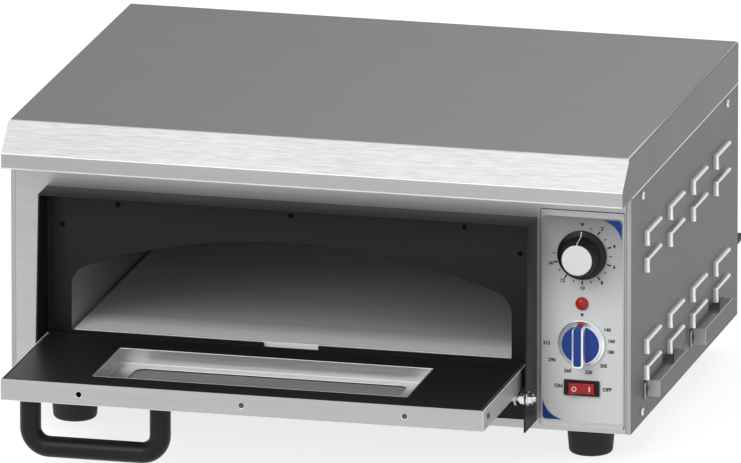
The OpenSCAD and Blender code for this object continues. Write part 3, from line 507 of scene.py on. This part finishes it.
labelBox = {"left": 0.2001, "right": 0.2729, "low": 0.0392, "high": 0.2245, "backY": -0.13115, "corner": 4 * mm}
# painted shadow under the cover's lip: darker towards the label's top
labelPaintedShadow = greyStops((0.0, 1), (0.31, 0.96), (0.56, 0.90), (0.75, 0.70), (0.92, 0.50), (1.0, 0.40))
deckReach = 0.40                     # how far in the deck's stops run
# painted shade across the deck: light at the mouth, a dark band a little way in, lighter again further back
deckPaintedShade = greyStops((0.0, 1), (0.07, 0.97), (0.15, 0.60), (0.26, 0.68), (0.50, 0.95), (1.0, 1))
# painted light and shade for the cover by facing: painted highlights on the lower bend and the slope, the lip mid
# grey, painted shade on the top
coverPaintedLight = [                       # by how far the sheet faces up: lower bend, lip, bend, slope, bend, top
    (0.30, (0.95, 0.95, 0.945)),
    (0.465, (0.95, 0.95, 0.945)),
    (0.492, (0.42, 0.42, 0.415)),
    (0.60, (0.41, 0.41, 0.405)),
    (0.79, (0.44, 0.44, 0.435)),
    (0.85, (0.87, 0.87, 0.865)),
    (0.905, (0.87, 0.87, 0.865)),
    (0.965, (0.42, 0.42, 0.42)),
    (0.992, (0.154, 0.154, 0.153)),
]

finishes = {
    "cover_steel": coverSteel("coverSteel", coverPaintedLight, 0.34),
    # side walls: the flat colour is painted shade, faces turned up or forward carry painted highlights
    "side_steel": sideSteel("sideSteel", (0.080, 0.080, 0.078), (0.42, 0.42, 0.415), (0.95, 0.95, 0.94), 0.42),
    "front_steel": brushedSteel("frontSteel", (0.47, 0.47, 0.46), "x", 0.13, 0.36, paintedLowLight=0.9),
    "door_steel": brushedSteel("doorSteel", (0.455, 0.455, 0.445), "x", 0.13, 0.36),
    "frame_steel": brushedSteel("frameSteel", (0.54, 0.54, 0.53), "x", 0.30, 0.34),
    "inner_steel": brushedSteel("innerSteel", (0.40, 0.39, 0.37), "y", 0.08, 0.44, 0.35),
    "deck_steel": brushedSteel("deckSteel", (0.95, 0.95, 0.945), "x", 0.06, 0.46, 0.15, smear=0.06,
                               paintedDepthShade=deckPaintedShade),
    "black_sheet": powderSheet("blackSheet", (0.010, 0.010, 0.0098), 0.40, specular=0.22),
    "bright_steel": brightMetal("brightSteel", (0.72, 0.72, 0.71), 0.22),
    "dark_screw": brightMetal("darkScrew", (0.10, 0.10, 0.10), 0.48),
    "heater_sheath": brightMetal("heaterSheath", (0.24, 0.225, 0.21), 0.48),
    "mineral_wool": rockWool("mineralWool", (0.55, 0.50, 0.36)),
    "label_film": labelSheet("labelFilm", (0.80, 0.813, 0.816), 0.34, labelPaintedShadow),
    "electric_case": mouldedPlastic("electricCase", (0.42, 0.38, 0.28), 0.5),
    "copper_tube": brightMetal("copperTube", (0.72, 0.36, 0.20), 0.28),
    "black_plastic": mouldedPlastic("blackPlastic", (0.006, 0.006, 0.006), 0.46, specular=0.28),
    "white_plastic": mouldedPlastic("whitePlastic", (0.86, 0.86, 0.86), 0.36),
    "blue_plastic": mouldedPlastic("bluePlastic", (0.012, 0.052, 0.29), 0.40, 0.03, specular=0.28),
    "red_plastic": mouldedPlastic("redPlastic", (0.41, 0.015, 0.017), 0.36, 0.05, specular=0.35),
    "knob_chrome": brightMetal("knobChrome", (0.90, 0.91, 0.92), 0.34, 0.03),
    "foot_rubber": mouldedPlastic("footRubber", (0.008, 0.008, 0.008), 0.66, 0.0, 700.0, 0.2),
    "seal_rubber": mouldedPlastic("sealRubber", (0.02, 0.02, 0.02), 0.7, 0.0, 600.0, 0.2),
    "window_pane": clearGlass("windowPane", (0.13, 0.133, 0.133), 0.04),
}
# finishes for rounded edges: lighter copies of each sheet paint a highlight along its edges; 'pan' is a darker copy
# that paints a shade line; 'bracket' is the brackets' side steel with its painted shade and highlights
edges = {
    "rim": brushedSteel("rimHighlight", (0.95, 0.95, 0.945), "x", 0.04, 0.34, 0.30),
    "frame": brushedSteel("frameEdgeHighlight", (0.72, 0.72, 0.71), "x", 0.04, 0.34, 0.60),
    "tray": powderSheet("trayEdgeHighlight", (0.10, 0.10, 0.10), 0.40, specular=0.3),
    "front": brushedSteel("frontEdgeHighlight", (0.62, 0.62, 0.61), "x", 0.05, 0.28),
    "side": brushedSteel("sideEdgeHighlight", (0.60, 0.60, 0.59), "y", 0.05, 0.34),
    "bracket": sideSteel("bracketSteel", (0.088, 0.088, 0.086), (0.42, 0.42, 0.415), (0.62, 0.62, 0.61), 0.42),
    "black": powderSheet("blackEdgeHighlight", (0.016, 0.016, 0.0155), 0.42, specular=0.25),
    "pan": brushedSteel("panEdgeShade", (0.34, 0.34, 0.335), "x", 0.05, 0.34),
}
inks = {
    "black": mouldedPlastic("blackInk", (0.008, 0.008, 0.010), 0.5, specular=0.2),
    "blue": mouldedPlastic("blueInk", (0.018, 0.062, 0.32), 0.5, specular=0.2),
    "white": mouldedPlastic("whiteInk", (0.86, 0.86, 0.85), 0.45),
    "red": mouldedPlastic("redInk", (0.36, 0.012, 0.016), 0.36, 0.2),
    "rivet": powderSheet("rivetBlack", (0.002, 0.002, 0.002), 0.7, specular=0.1),
}
print("finishes ready:", len(finishes) + len(edges) + len(inks))


# camera, floor and light

view = {
    "lens": 1050.0,
    "sensor": 36.0,
    "place": (4.4657, -17.8496, 5.1282),
    "azimuth": 14.0066,
    "elevation": 15.1044,
    "near": 1.0,
    "far": 200.0,
}


def makeCamera():
    data = bpy.data.cameras.new("photoCamera")
    camera = bpy.data.objects.new("photoCamera", data)
    bpy.context.collection.objects.link(camera)
    data.type = 'PERSP'
    data.lens = view["lens"]
    data.sensor_width = view["sensor"]
    data.clip_start = view["near"]
    data.clip_end = view["far"]
    camera.location = view["place"]
    camera.rotation_euler = (math.radians(90 - view["elevation"]), 0, math.radians(view["azimuth"]))
    bpy.context.scene.camera = camera


studio = {
    "world": 0.82,
    "floorSize": 120,
    "floorGlow": 0.80,
    "floorColour": 0.34,
    "aim": (0, 0, 0.15),
    "lamps": [                       # place, size, power
        ((-0.9, -3.0, 2.2), 2.0, 46),
        ((-0.4, 2.2, 3.0), 2.2, 10),
    ],
}


def makeStudio():
    clearSelection()
    bpy.ops.mesh.primitive_plane_add(size=studio["floorSize"], location=(0, 0, 0))
    floor = bpy.context.object
    floor.name = "studioFloor"
    bpy.ops.object.transform_apply(location=True, rotation=True, scale=True)
    # the floor glows for the rays that show it and lights nothing with that glow
    tile = Finish("studioFloor", [studio["floorColour"]] * 3, 1.0)
    tile.constant("Specular IOR Level", 0.0)
    rays = [tile.add("ShaderNodeLightPath", out=name)
            for name in ("Is Camera Ray", "Is Glossy Ray", "Is Transmission Ray")]
    tile.feed("Emission Color", tile.tint((1, 1, 1), (rays[0] + rays[1] + rays[2]).held()))
    tile.constant("Emission Strength", studio["floorGlow"])
    floor.data.materials.append(tile.material)
    world = bpy.data.worlds.new("softRoom")
    bpy.context.scene.world = world
    world.use_nodes = True
    world.node_tree.nodes["Background"].inputs["Color"].default_value = (1, 1, 1, 1)
    world.node_tree.nodes["Background"].inputs["Strength"].default_value = studio["world"]
    for number, (at, size, power) in enumerate(studio["lamps"]):
        data = bpy.data.lights.new(f"softLamp{number}", 'AREA')
        data.size = size
        data.energy = power
        lamp = bpy.data.objects.new(f"softLamp{number}", data)
        bpy.context.collection.objects.link(lamp)
        lamp.location = at
        lamp.rotation_mode = 'QUATERNION'
        lamp.rotation_quaternion = (Vector(studio["aim"]) - Vector(at)).to_track_quat('-Z', 'Y')
    bpy.context.scene.view_settings.view_transform = 'Standard'


makeCamera()
makeStudio()
print("camera and studio ready")


# sheet metal: merged copies with turned edges

hem = {"out": 0.9 * mm, "inward": 0.3 * mm, "tall": 1.0 * mm, "chamfer": 0.85 * mm}


def makeCover():
    cover = softened("top_cover", "topCover", "cover_steel", 0, finishes["cover_steel"], smooth=40)
    # the lip's lower edge is a narrow hem that catches the lamps' light; its upward face also takes the cover's
    # painted highlight
    lipY = min(corner[1] for corner in cover.bound_box)
    lipZ = min(corner[2] for corner in cover.bound_box)
    strip = block((-place["wallX"], lipY - hem["out"], lipZ),
                  (place["wallX"], lipY + hem["inward"], lipZ + hem["tall"]))
    middleY, middleZ = lipY - hem["out"] / 2, lipZ + hem["tall"] / 2
    bevelEdges(strip, lambda p, q: max(p.y, q.y) < middleY and min(p.z, q.z) > middleZ, hem["chamfer"], 1)
    settle(strip)
    strip.data.materials.append(finishes["cover_steel"])
    joined([cover, strip])


seam = {"edge": -0.2752, "shift": 0.35 * mm}


def makeFront():
    front = softened("front_panel", "frontPanel", "front_steel", 0.3 * mm, finishes["front_steel"], edges["front"])
    for vertex in front.data.vertices:
        if vertex.co.x < seam["edge"]:
            vertex.co.x -= seam["shift"]                 # closes the seam at the left edge


def makeWalls():
    wallX = place["wallX"]
    for side in ("left", "right"):
        wall = softened(f"{side}_side_panel", f"{side}SidePanel", "side_steel", 0, finishes["side_steel"], smooth=40)
        # the wall's upper outer edge, under the cover's flange, is rounded and catches the lamps' light; its upward
        # faces also take the side steel's painted highlight
        top = max(p.co.z for p in wall.data.vertices if abs(abs(p.co.x) - wallX) < hair)
        bevelEdges(wall, lambda p, q: min(p.z, q.z) > top - hair and min(abs(p.x), abs(q.x)) > wallX - hair,
                   0.8 * mm, 2)
        evened(wall, 40)


makeCover()
makeFront()
makeWalls()
softened("side_brackets", "sideBrackets", "side_steel", 0.3 * mm, edges["bracket"], edges["side"])
softened("door_surround", "doorSurround", "black_sheet", 0.5 * mm, finishes["black_sheet"], edges["black"])
plate = softened("control_plate", "controlPlate", "front_steel", 0.7 * mm, finishes["front_steel"], edges["pan"],
                 edges["rim"], ringFaces=True)
# painted highlight on its lower edge only; its other rounded edges take the darker painted edge shade
refinish(plate, 2, lambda face: face.material_index == 1 and face.normal.z < -0.3)
# the pan's rounded edges take the bright rim finish, a painted highlight
pan = softened("door_pan", "doorPan", "front_steel", 0.45 * mm, finishes["door_steel"], edges["rim"],
               finishes["black_sheet"])
# the black sheet's edge lies over the pan's rear rim
rearRim = max(corner[1] for corner in pan.bound_box) - 1.5 * mm
refinish(pan, 2, lambda face: face.center.y > rearRim and face.normal.z > 0.3)
softened("door_inner_panel", "doorInnerPanel", "black_sheet", 0.5 * mm, finishes["black_sheet"], edges["tray"],
         ringFaces=True)
softened("window_frame", "windowFrame", "bright_steel", 0.4 * mm, finishes["frame_steel"], edges["frame"])
softened("deck_plate", "deckPlate", "deck_steel", 0.5 * mm, finishes["deck_steel"], edges["pan"])
softened("hinge_ears", "hingeEars", "bright_steel", 0.3 * mm, finishes["door_steel"], edges["front"])
softened("cord_gland", "cordGland", "black_plastic", 0.4 * mm, finishes["black_plastic"])
softened("rear_spacers", "rearSpacers", "black_plastic", 0.3 * mm, finishes["black_plastic"])
print("sheets ready")


# feet, with their rings in mm

foot = {
    "recess": [(2.6, 12.0), (6.5, 12.0), (6.5, 0.4), (6.9, 0.0), (15.3, 0.0)],
    "bend": (15.5, 4.0),             # middle and radius of the round lower edge
    "wall": [(19.65, 6.0), (21.3, 24.8), (21.75, 25.4), (22.0, 26.0), (22.0, 29.5), (21.6, 29.95), (2.6, 29.95)],
    "places": {
        "footFrontLeft": (-0.234, -0.0861),
        "footFrontRight": (0.234, -0.0861),
        "footRearLeft": (-0.234, 0.2389),
        "footRearRight": (0.234, 0.2389),
    },
}


def makeFeet():
    middle, r = foot["bend"]
    bend = [(middle + r * math.sin(a), r - r * math.cos(a)) for a in (math.radians(15 * n) for n in range(1, 7))]
    piece = turned(inMm(foot["recess"] + bend + foot["wall"]), 56)
    (first, (x, y)), *others = foot["places"].items()
    settle(piece, (x, y, 0), smooth=28)
    fitted(piece, first, "oven", "foot_rubber", finishes["foot_rubber"])
    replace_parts(piece, "feet")
    for name, (nextX, nextY) in others:
        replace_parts(copied(piece, name, (nextX - x, nextY - y, 0)), "feet")


makeFeet()
print("feet ready")


# handle

handle = {
    "tube": 18.6 * mm,
    "left": -0.2221,                 # middle lines of the two posts
    "right": -0.1051,
    "y": -0.2834,
    "top": 0.0748,                   # upper end of the posts
    "bar": 0.0285,                   # height of the bar's middle line
    "bend": 17 * mm,
}


def makeHandle():
    clearSelection()
    r = handle["bend"]
    bendZ = handle["bar"] + r
    left, right, y = handle["left"], handle["right"], handle["y"]
    bpy.ops.mesh.primitive_circle_add(vertices=40, radius=handle["tube"] / 2, location=(left, y, handle["top"]),
                                      fill_type='NGON')
    piece = bpy.context.object
    bpy.ops.object.transform_apply(location=True, rotation=False, scale=False)
    editAll()
    bpy.ops.mesh.extrude_region_move(TRANSFORM_OT_translate={"value": (0, 0, bendZ - handle["top"])})
    bpy.ops.mesh.spin(steps=14, angle=math.pi / 2, center=(left + r, y, bendZ), axis=(0, 1, 0))
    bpy.ops.mesh.extrude_region_move(TRANSFORM_OT_translate={"value": (right - left - 2 * r, 0, 0)})
    bpy.ops.mesh.spin(steps=14, angle=math.pi / 2, center=(right - r, y, bendZ), axis=(0, 1, 0))
    bpy.ops.mesh.extrude_region_move(TRANSFORM_OT_translate={"value": (0, 0, handle["top"] - bendZ)})
    bpy.ops.mesh.select_all(action='SELECT')
    bpy.ops.mesh.remove_doubles(threshold=hair)
    finishEdit()
    settle(piece)
    handleBlack = powderSheet("handleBlack", (0.006, 0.006, 0.006), 0.40, 0.10, 0.25)
    fitted(piece, "doorHandle", "door", "black_plastic", handleBlack)
    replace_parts(piece, "door_handle")


makeHandle()
print("handle ready")


# screws

screw = {
    "head": 7.5 * mm,
    "rise": 2.0 * mm,
    "slot": 1.0 * mm,
    "slotLength": 4.2 * mm,
    "smallHead": 5.4 * mm,
    "smallRise": 1.2 * mm,
    "wall": [(42.7, 39.8), (368.6, 39.8), (42.7, 235.7), (368.6, 235.7)],     # mm in from the front, mm up
    "tabX": 0.2815,
    "tab": [(55.5, 56.4), (172.5, 56.4), (232.5, 56.4), (349.5, 56.4)],
    "rearX": 0.276,
    "rear": (0.045, 0.108, 0.171, 0.234),
    "door": [(0.1908, -0.2904, 0.0849, 1), (-0.2428, -0.2904, 0.0849, -1)],
}


def crossHead(size, rise):
    # a domed head along +Z with a cross let into it
    profile = [(1.0, 0.0), (1.0, 0.35), (0.94, 0.62), (0.76, 0.84), (0.48, 0.96), (0.12, 1.0)]
    head = turned([(size / 2 * across, rise * up) for across, up in profile], 28)
    ratio = size / screw["head"]
    reach, wide = screw["slotLength"] * ratio / 2, screw["slot"] * ratio / 2
    cutters = [settle(block((-reach, -wide, rise * 0.35), (reach, wide, rise * 2)), turn=(0, 0, turn))
               for turn in (0, math.pi / 2)]
    return cutOut(head, cutters)


def makePanelScrews():
    large = crossHead(screw["head"], screw["rise"])
    small = crossHead(screw["smallHead"], screw["smallRise"])
    walls, tabs, rear = [], [], []
    # each place ends with the side that the head looks to: 1 right, -1 left, 0 the back
    for side in (1, -1):
        walls += [(side * place["wallX"], place["frontY"] + y, z, side) for y, z in inMm(screw["wall"])]
        tabs += [(side * screw["tabX"], place["frontY"] + y, z, side) for y, z in inMm(screw["tab"])]
        rear += [(side * screw["rearX"], place["backY"], z, 0) for z in screw["rear"]]
    for name, form, places, finish in (
            ("panelScrewHeads", large, walls, "bright_steel"),
            ("backScrewHeads", large, rear, "bright_steel"),
            ("bracketScrewHeads", small, tabs, "dark_screw"),
            ("doorWallScrews", small, screw["door"], "dark_screw")):
        onDoor = places is screw["door"]
        made = []
        for x, y, z, side in places:
            turn = (0, side * math.pi / 2, 0) if side else (-math.pi / 2, 0, 0)
            made.append(settle(duplicate(form), (x, y, z), turn))
        piece = joined(made)
        fitted(piece, name, "door" if onDoor else "oven", "bright_steel", finishes[finish])
        if not onDoor:
            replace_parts(piece, "panel_screws")
    bpy.data.objects.remove(large)
    bpy.data.objects.remove(small)


makePanelScrews()
print("screws ready")


# control panel: print, knobs, lamp and switch

def onPanel(piece, z, out=0.0):
    # turns a piece that was made along +Z towards the user
    return settle(piece, (place["controlsX"], place["labelY"] - out, z), (math.pi / 2, 0, 0))


ink = 0.12 * mm                        # how far print stands off the label
letterInk = 0.05 * mm


def printed(text, size, across, z, ends='CENTER'):
    # across is from the line of the knobs
    clearSelection()
    bpy.ops.object.text_add(location=(0, 0, 0))
    word = bpy.context.object
    word.data.body = text
    word.data.size = size
    word.data.align_x = ends
    word.data.align_y = 'CENTER'
    word.data.extrude = letterInk
    word.data.offset = size * 0.04
    word.data.resolution_u = 3
    bpy.ops.object.convert(target='MESH')
    word = bpy.context.object
    return settle(word, (place["controlsX"] + across, place["labelY"] - letterInk, z), (math.pi / 2, 0, 0))


def tick(length, width, angle, radius, z):
    mark = block((-width / 2, radius, 0), (width / 2, radius + length, ink))
    settle(mark, turn=(0, 0, -math.radians(angle)))
    return onPanel(mark, z)


def pointer(z):
    # a small filled triangle that points down
    clearSelection()
    bpy.ops.mesh.primitive_circle_add(vertices=3, radius=2.2 * mm, fill_type='NGON')
    mark = bpy.context.object
    editAll()
    bpy.ops.mesh.extrude_region_move(TRANSFORM_OT_translate={"value": (0, 0, ink)})
    finishEdit()
    mark.scale = (1, 0.9, 1)
    settle(mark, turn=(0, 0, math.pi))
    return onPanel(mark, z)


timerScale = {
    "step": 18,                      # degrees a minute
    "even": {"length": 3.7 * mm, "width": 1.3 * mm, "radius": 23.5 * mm},
    "odd": {"length": 2.1 * mm, "width": 0.85 * mm, "radius": 24.4 * mm},
    "numbers": 30.2 * mm,
    "size": 4.5 * mm,
    "pointer": 27.6 * mm,
}
thermostatScale = {
    "size": 4.3 * mm,
    "pointer": 25.6 * mm,
    "numbers": [                     # number, mm to the right of the knob's middle, mm above it
        (140, 22.6, 13.3), (160, 26.4, 3.2), (180, 25.6, -6.7), (205, 19.4, -19.6),
        (230, 6.0, -26.3), (260, -12.8, -26.0), (290, -27.0, -17.0), (315, -31.8, -2.0),
    ],
}
switchWords = {"size": 4.6 * mm, "words": [("ON", -17.4, 0.4, 'RIGHT'), ("OFF", 18.6, -0.6, 'LEFT')]}


def makePrint():
    marks = []
    for minute in range(1, 16):
        angle = minute * timerScale["step"]
        even = minute % 2 == 0
        marks.append(tick(angle=angle, z=place["timerZ"], **timerScale["even" if even else "odd"]))
        if even:
            r, a = timerScale["numbers"], math.radians(angle)
            marks.append(printed(str(minute), timerScale["size"], r * math.sin(a), place["timerZ"] + r * math.cos(a)))
    marks.append(pointer(place["timerZ"] + timerScale["pointer"]))
    marks.append(pointer(place["thermostatZ"] + thermostatScale["pointer"]))
    for value, across, up in thermostatScale["numbers"]:
        marks.append(printed(str(value), thermostatScale["size"], across * mm, place["thermostatZ"] + up * mm))
    for word, across, up, ends in switchWords["words"]:
        marks.append(printed(word, switchWords["size"], across * mm, place["switchZ"] + up * mm, ends))
    piece = joined(marks)
    fitted(piece, "panelPrint", "oven", "black_plastic", inks["black"])


labelHoles = {
    "radius": {"timerZ": 5.2 * mm, "thermostatZ": 5.2 * mm, "lampZ": 4.7 * mm},
    "switchWide": 28.4 * mm,
    "switchTall": 11.6 * mm,
    "reach": 4 * mm,                 # of the cutters, before and behind the label
}


def makeLabel():
    # rounded sheet with holes for the two shafts, the lamp and the switch
    b, h = labelBox, labelHoles
    x, y, reach = place["controlsX"], place["labelY"], h["reach"]
    piece = block((b["left"], y, b["low"]), (b["right"], b["backY"], b["high"]))
    bevelEdges(piece, lambda p, q: abs(p.x - q.x) < hair and abs(p.z - q.z) < hair, b["corner"], 8)
    cutters = [onPanel(turned([(r, -reach), (r, reach)], 32), place[height]) for height, r in h["radius"].items()]
    wide, tall, z = h["switchWide"] / 2, h["switchTall"] / 2, place["switchZ"]
    cutters.append(block((x - wide, y - reach, z - tall), (x + wide, y + reach, z + tall)))
    cutOut(piece, cutters)
    settle(piece)
    fitted(piece, "controlLabel", "oven", "label_film", finishes["label_film"])
    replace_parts(piece, "control_label")


cornerShape = {
    "side": 17.8 * mm,
    "round": 3.2 * mm,
    "inX": 1.0 * mm,                 # in from the label's edges
    "inZ": 1.2 * mm,
    "pullX": 3.2 * mm,               # how far the long side's middle control point keeps off the corner
    "pullZ": 3.6 * mm,
    "steps": 14,
}


def cornerField(side, up):
    # coloured field in a corner: square to the label's edges, its long side drawn in towards the corner
    b, c = labelBox, cornerShape
    cx = b["right"] - c["inX"] if side > 0 else b["left"] + c["inX"]
    cz = b["high"] - c["inZ"] if up > 0 else b["low"] + c["inZ"]
    reach, r = c["side"], c["round"]
    outline = [(-reach, 0.0)]
    outline += [(-r + r * math.sin(a), -r + r * math.cos(a)) for a in (math.radians(15 * n) for n in range(7))]
    outline += [(0.0, -reach)]
    for n in range(1, c["steps"]):
        t = n / c["steps"]
        outline.append((-2 * t * (1 - t) * c["pullX"] - t ** 2 * reach,
                        -2 * t * (1 - t) * c["pullZ"] - (1 - t) ** 2 * reach))
    clearSelection()
    bpy.ops.mesh.primitive_circle_add(vertices=len(outline), radius=1, fill_type='NGON')
    piece = bpy.context.object
    for vertex, (x, z) in zip(piece.data.vertices, outline):
        vertex.co = (cx + side * x, place["labelY"], cz + up * z)
    editAll()
    bpy.ops.mesh.extrude_region_move(TRANSFORM_OT_translate={"value": (0, -ink, 0)})
    finishEdit()
    return settle(piece)


def makeCorners():
    piece = joined([cornerField(1, 1), cornerField(-1, -1)])
    fitted(piece, "labelCorners", "oven", "blue_plastic", inks["blue"])


makeLabel()
makePrint()
makeCorners()
print("label ready")

knobGap = 0.5 * mm                     # between a knob and the label
timerKnob = {                          # rings in mm, out from the middle and up from the knob's foot
    "body": [(21.6, 0.0), (22.0, 0.4), (22.0, 2.2), (21.75, 2.8), (21.2, 3.0), (19.4, 4.2), (18.6, 4.6), (17.75, 5.2),
             (17.4, 6.2), (15.55, 17.8), (15.4, 19.0), (14.9, 19.75), (14.45, 20.0), (13.72, 20.0), (13.72, 18.6)],
    "cap": [(13.6, 18.6), (13.6, 20.1), (13.35, 20.6), (12.8, 20.85), (12.0, 20.9), (1.2, 20.9)],
    "line": [(21.6, 2.75), (21.2, 3.05), (19.4, 4.25), (18.4, 4.75), (17.65, 5.6), (17.42, 7.0), (15.65, 17.8),
             (15.45, 19.1), (14.9, 20.02), (13.9, 20.06)],
    "lineWidth": 0.8 * mm,
    "lineThick": 0.25 * mm,
}


def makeTimerKnob():
    k = timerKnob
    body = turned(inMm(k["body"]), 72)
    onPanel(body, place["timerZ"], knobGap)
    fitted(body, "timerKnobBody", "timer_dial", "black_plastic", finishes["black_plastic"])
    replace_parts(body, "timer_knob")
    cap = turned(inMm(k["cap"]), 64)
    onPanel(cap, place["timerZ"], knobGap)
    fitted(cap, "timerKnobCap", "timer_dial", "white_plastic", finishes["white_plastic"])
    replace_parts(cap, "timer_cap")
    # white line that climbs from the skirt's rim to the cap
    path = inMm(k["line"])
    r, z = path[0]
    clearSelection()
    bpy.ops.mesh.primitive_plane_add(size=1)
    line = bpy.context.object
    half = k["lineWidth"] / 2
    for vertex, (x, y) in zip(line.data.vertices, ((-half, r), (half, r), (-half, r - ink), (half, r - ink))):
        vertex.co = (x, y, z + ink)
    pickEdges(line, lambda p, q: max(p.y, q.y) < r - ink / 2)
    for nextR, nextZ in path[1:]:
        bpy.ops.mesh.extrude_region_move(TRANSFORM_OT_translate={"value": (0, nextR - r, nextZ - z)})
        r, z = nextR, nextZ
    finishEdit()
    wall = line.modifiers.new("wall", 'SOLIDIFY')
    wall.thickness = k["lineThick"]
    wall.offset = 0
    bpy.ops.object.modifier_apply(modifier=wall.name)
    onPanel(line, place["timerZ"], knobGap)
    fitted(line, "timerKnobLine", "timer_dial", "white_plastic", inks["white"])


makeTimerKnob()

thermostatKnob = {                     # rings and opposite corners of blocks, in mm
    "skirt": [(20.7, 0.0), (21.0, 0.3), (21.0, 1.4), (20.8, 1.85), (20.4, 2.1), (19.4, 3.2), (18.2, 5.6), (17.7, 6.3),
              (17.3, 6.6), (17.05, 6.5), (17.05, 5.2)],
    "disc": [(16.9, 5.2), (16.9, 6.5), (16.65, 6.8), (1.0, 6.9)],
    "bar": [(-3.5, -16.7, 5.6), (3.5, 17.9, 19.0)],
    "jacket": [(-5.1, -18.5, 5.6), (5.1, 17.5, 17.7)],
    "index": [(-2.5, 16.8, 2.2), (2.5, 20.2, 7.2)],
}


def makeThermostatKnob():
    k = thermostatKnob
    skirt = turned(inMm(k["skirt"]), 72)
    onPanel(skirt, place["thermostatZ"], knobGap)
    fitted(skirt, "thermostatSkirt", "thermostat_dial", "knob_chrome", finishes["knob_chrome"])
    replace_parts(skirt, "thermostat_skirt")
    # coloured face with its grip bar
    disc = turned(inMm(k["disc"]), 72)
    bar = block(*inMm(k["bar"]))
    bevelEdges(bar, upright, 1.8 * mm, 4)
    bevelTop(bar, 0.9 * mm, 3)
    blue = joined([disc, bar])
    onPanel(blue, place["thermostatZ"], knobGap)
    fitted(blue, "thermostatFace", "thermostat_dial", "blue_plastic", finishes["blue_plastic"])
    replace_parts(blue, "thermostat_grip")
    # bright jacket round the bar's sides and lower end
    jacket = block(*inMm(k["jacket"]))
    bevelEdges(jacket, upright, 3.0 * mm, 5)
    bevelTop(jacket, 0.6 * mm, 2)
    onPanel(jacket, place["thermostatZ"], knobGap)
    fitted(jacket, "thermostatJacket", "thermostat_dial", "knob_chrome", finishes["knob_chrome"])
    # index mark on the skirt
    mark = block(*inMm(k["index"]))
    bevelTop(mark, 0.5 * mm, 2)
    onPanel(mark, place["thermostatZ"], knobGap)
    fitted(mark, "thermostatIndex", "thermostat_dial", "red_plastic", inks["red"])


makeThermostatKnob()

lensRings = [(5.85, 0.0), (5.85, 1.2), (5.5, 1.8), (4.65, 2.6), (3.45, 3.3), (1.755, 3.9), (0.2925, 4.0)]


def makeLens():
    piece = turned(inMm(lensRings), 40)
    onPanel(piece, place["lampZ"])
    fitted(piece, "pilotLens", "oven", "red_plastic", finishes["red_plastic"])
    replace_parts(piece, "pilot_lens")


makeLens()

rocker = {
    "tilt": math.radians(8),         # of each wing
    "axisOut": 1.2 * mm,             # rocker's axis, off the label
    "valley": 3.4 * mm,              # the wings' common edge, off the axis
    "bar": [(-0.55, -2.3, 0.0), (0.55, 2.3, 0.12)],
    "barOut": 7.2 * mm,
    "ring": 2.2 * mm,
    "ringWide": 0.75 * mm,
    "ringOut": 6.4 * mm,
}


def makeSwitch():
    softened("switch_body", "switchBody", "black_plastic", 0.4 * mm, finishes["black_plastic"])
    softened("switch_rocker", "switchRocker", "red_plastic", 0.5 * mm, finishes["red_plastic"])
    k, tilt = rocker, rocker["tilt"]
    x, z = k["valley"] * math.sin(tilt), k["valley"] * math.cos(tilt) + k["axisOut"]
    # one bar on the right wing, a ring on the left one
    bar = block(*inMm(k["bar"]))
    settle(bar, (x + k["barOut"], 0, z))
    clearSelection()
    bpy.ops.mesh.primitive_circle_add(vertices=28, radius=k["ring"], fill_type='NGON')
    ring = bpy.context.object
    editAll()
    bpy.ops.mesh.inset(thickness=k["ringWide"])
    bpy.ops.mesh.delete(type='FACE')
    bpy.ops.mesh.select_all(action='SELECT')
    bpy.ops.mesh.extrude_region_move(TRANSFORM_OT_translate={"value": (0, 0, ink)})
    finishEdit()
    out = k["ringOut"]
    settle(ring, (x - out * math.cos(2 * tilt), 0, z + out * math.sin(2 * tilt)), (0, 2 * tilt, 0))
    marks = joined([bar, ring])
    onPanel(marks, place["switchZ"])
    fitted(marks, "rockerMarks", "rocker", "white_plastic", inks["white"])


makeSwitch()
print("controls ready")


# the other solids keep their shape and take their finish

slotOf = {part["node"]: part["material_slot"] for part in frame["record"]["subparts"]}
staying = {name: solid for name, solid in frame["nodes"].items() if not solid.hide_render}
for name, solid in staying.items():
    solid.data.materials.clear()
    solid.data.materials.append(inks["rivet"] if name == "surround_rivets" else finishes[slotOf[name]])
print("solids that stay:", len(staying))
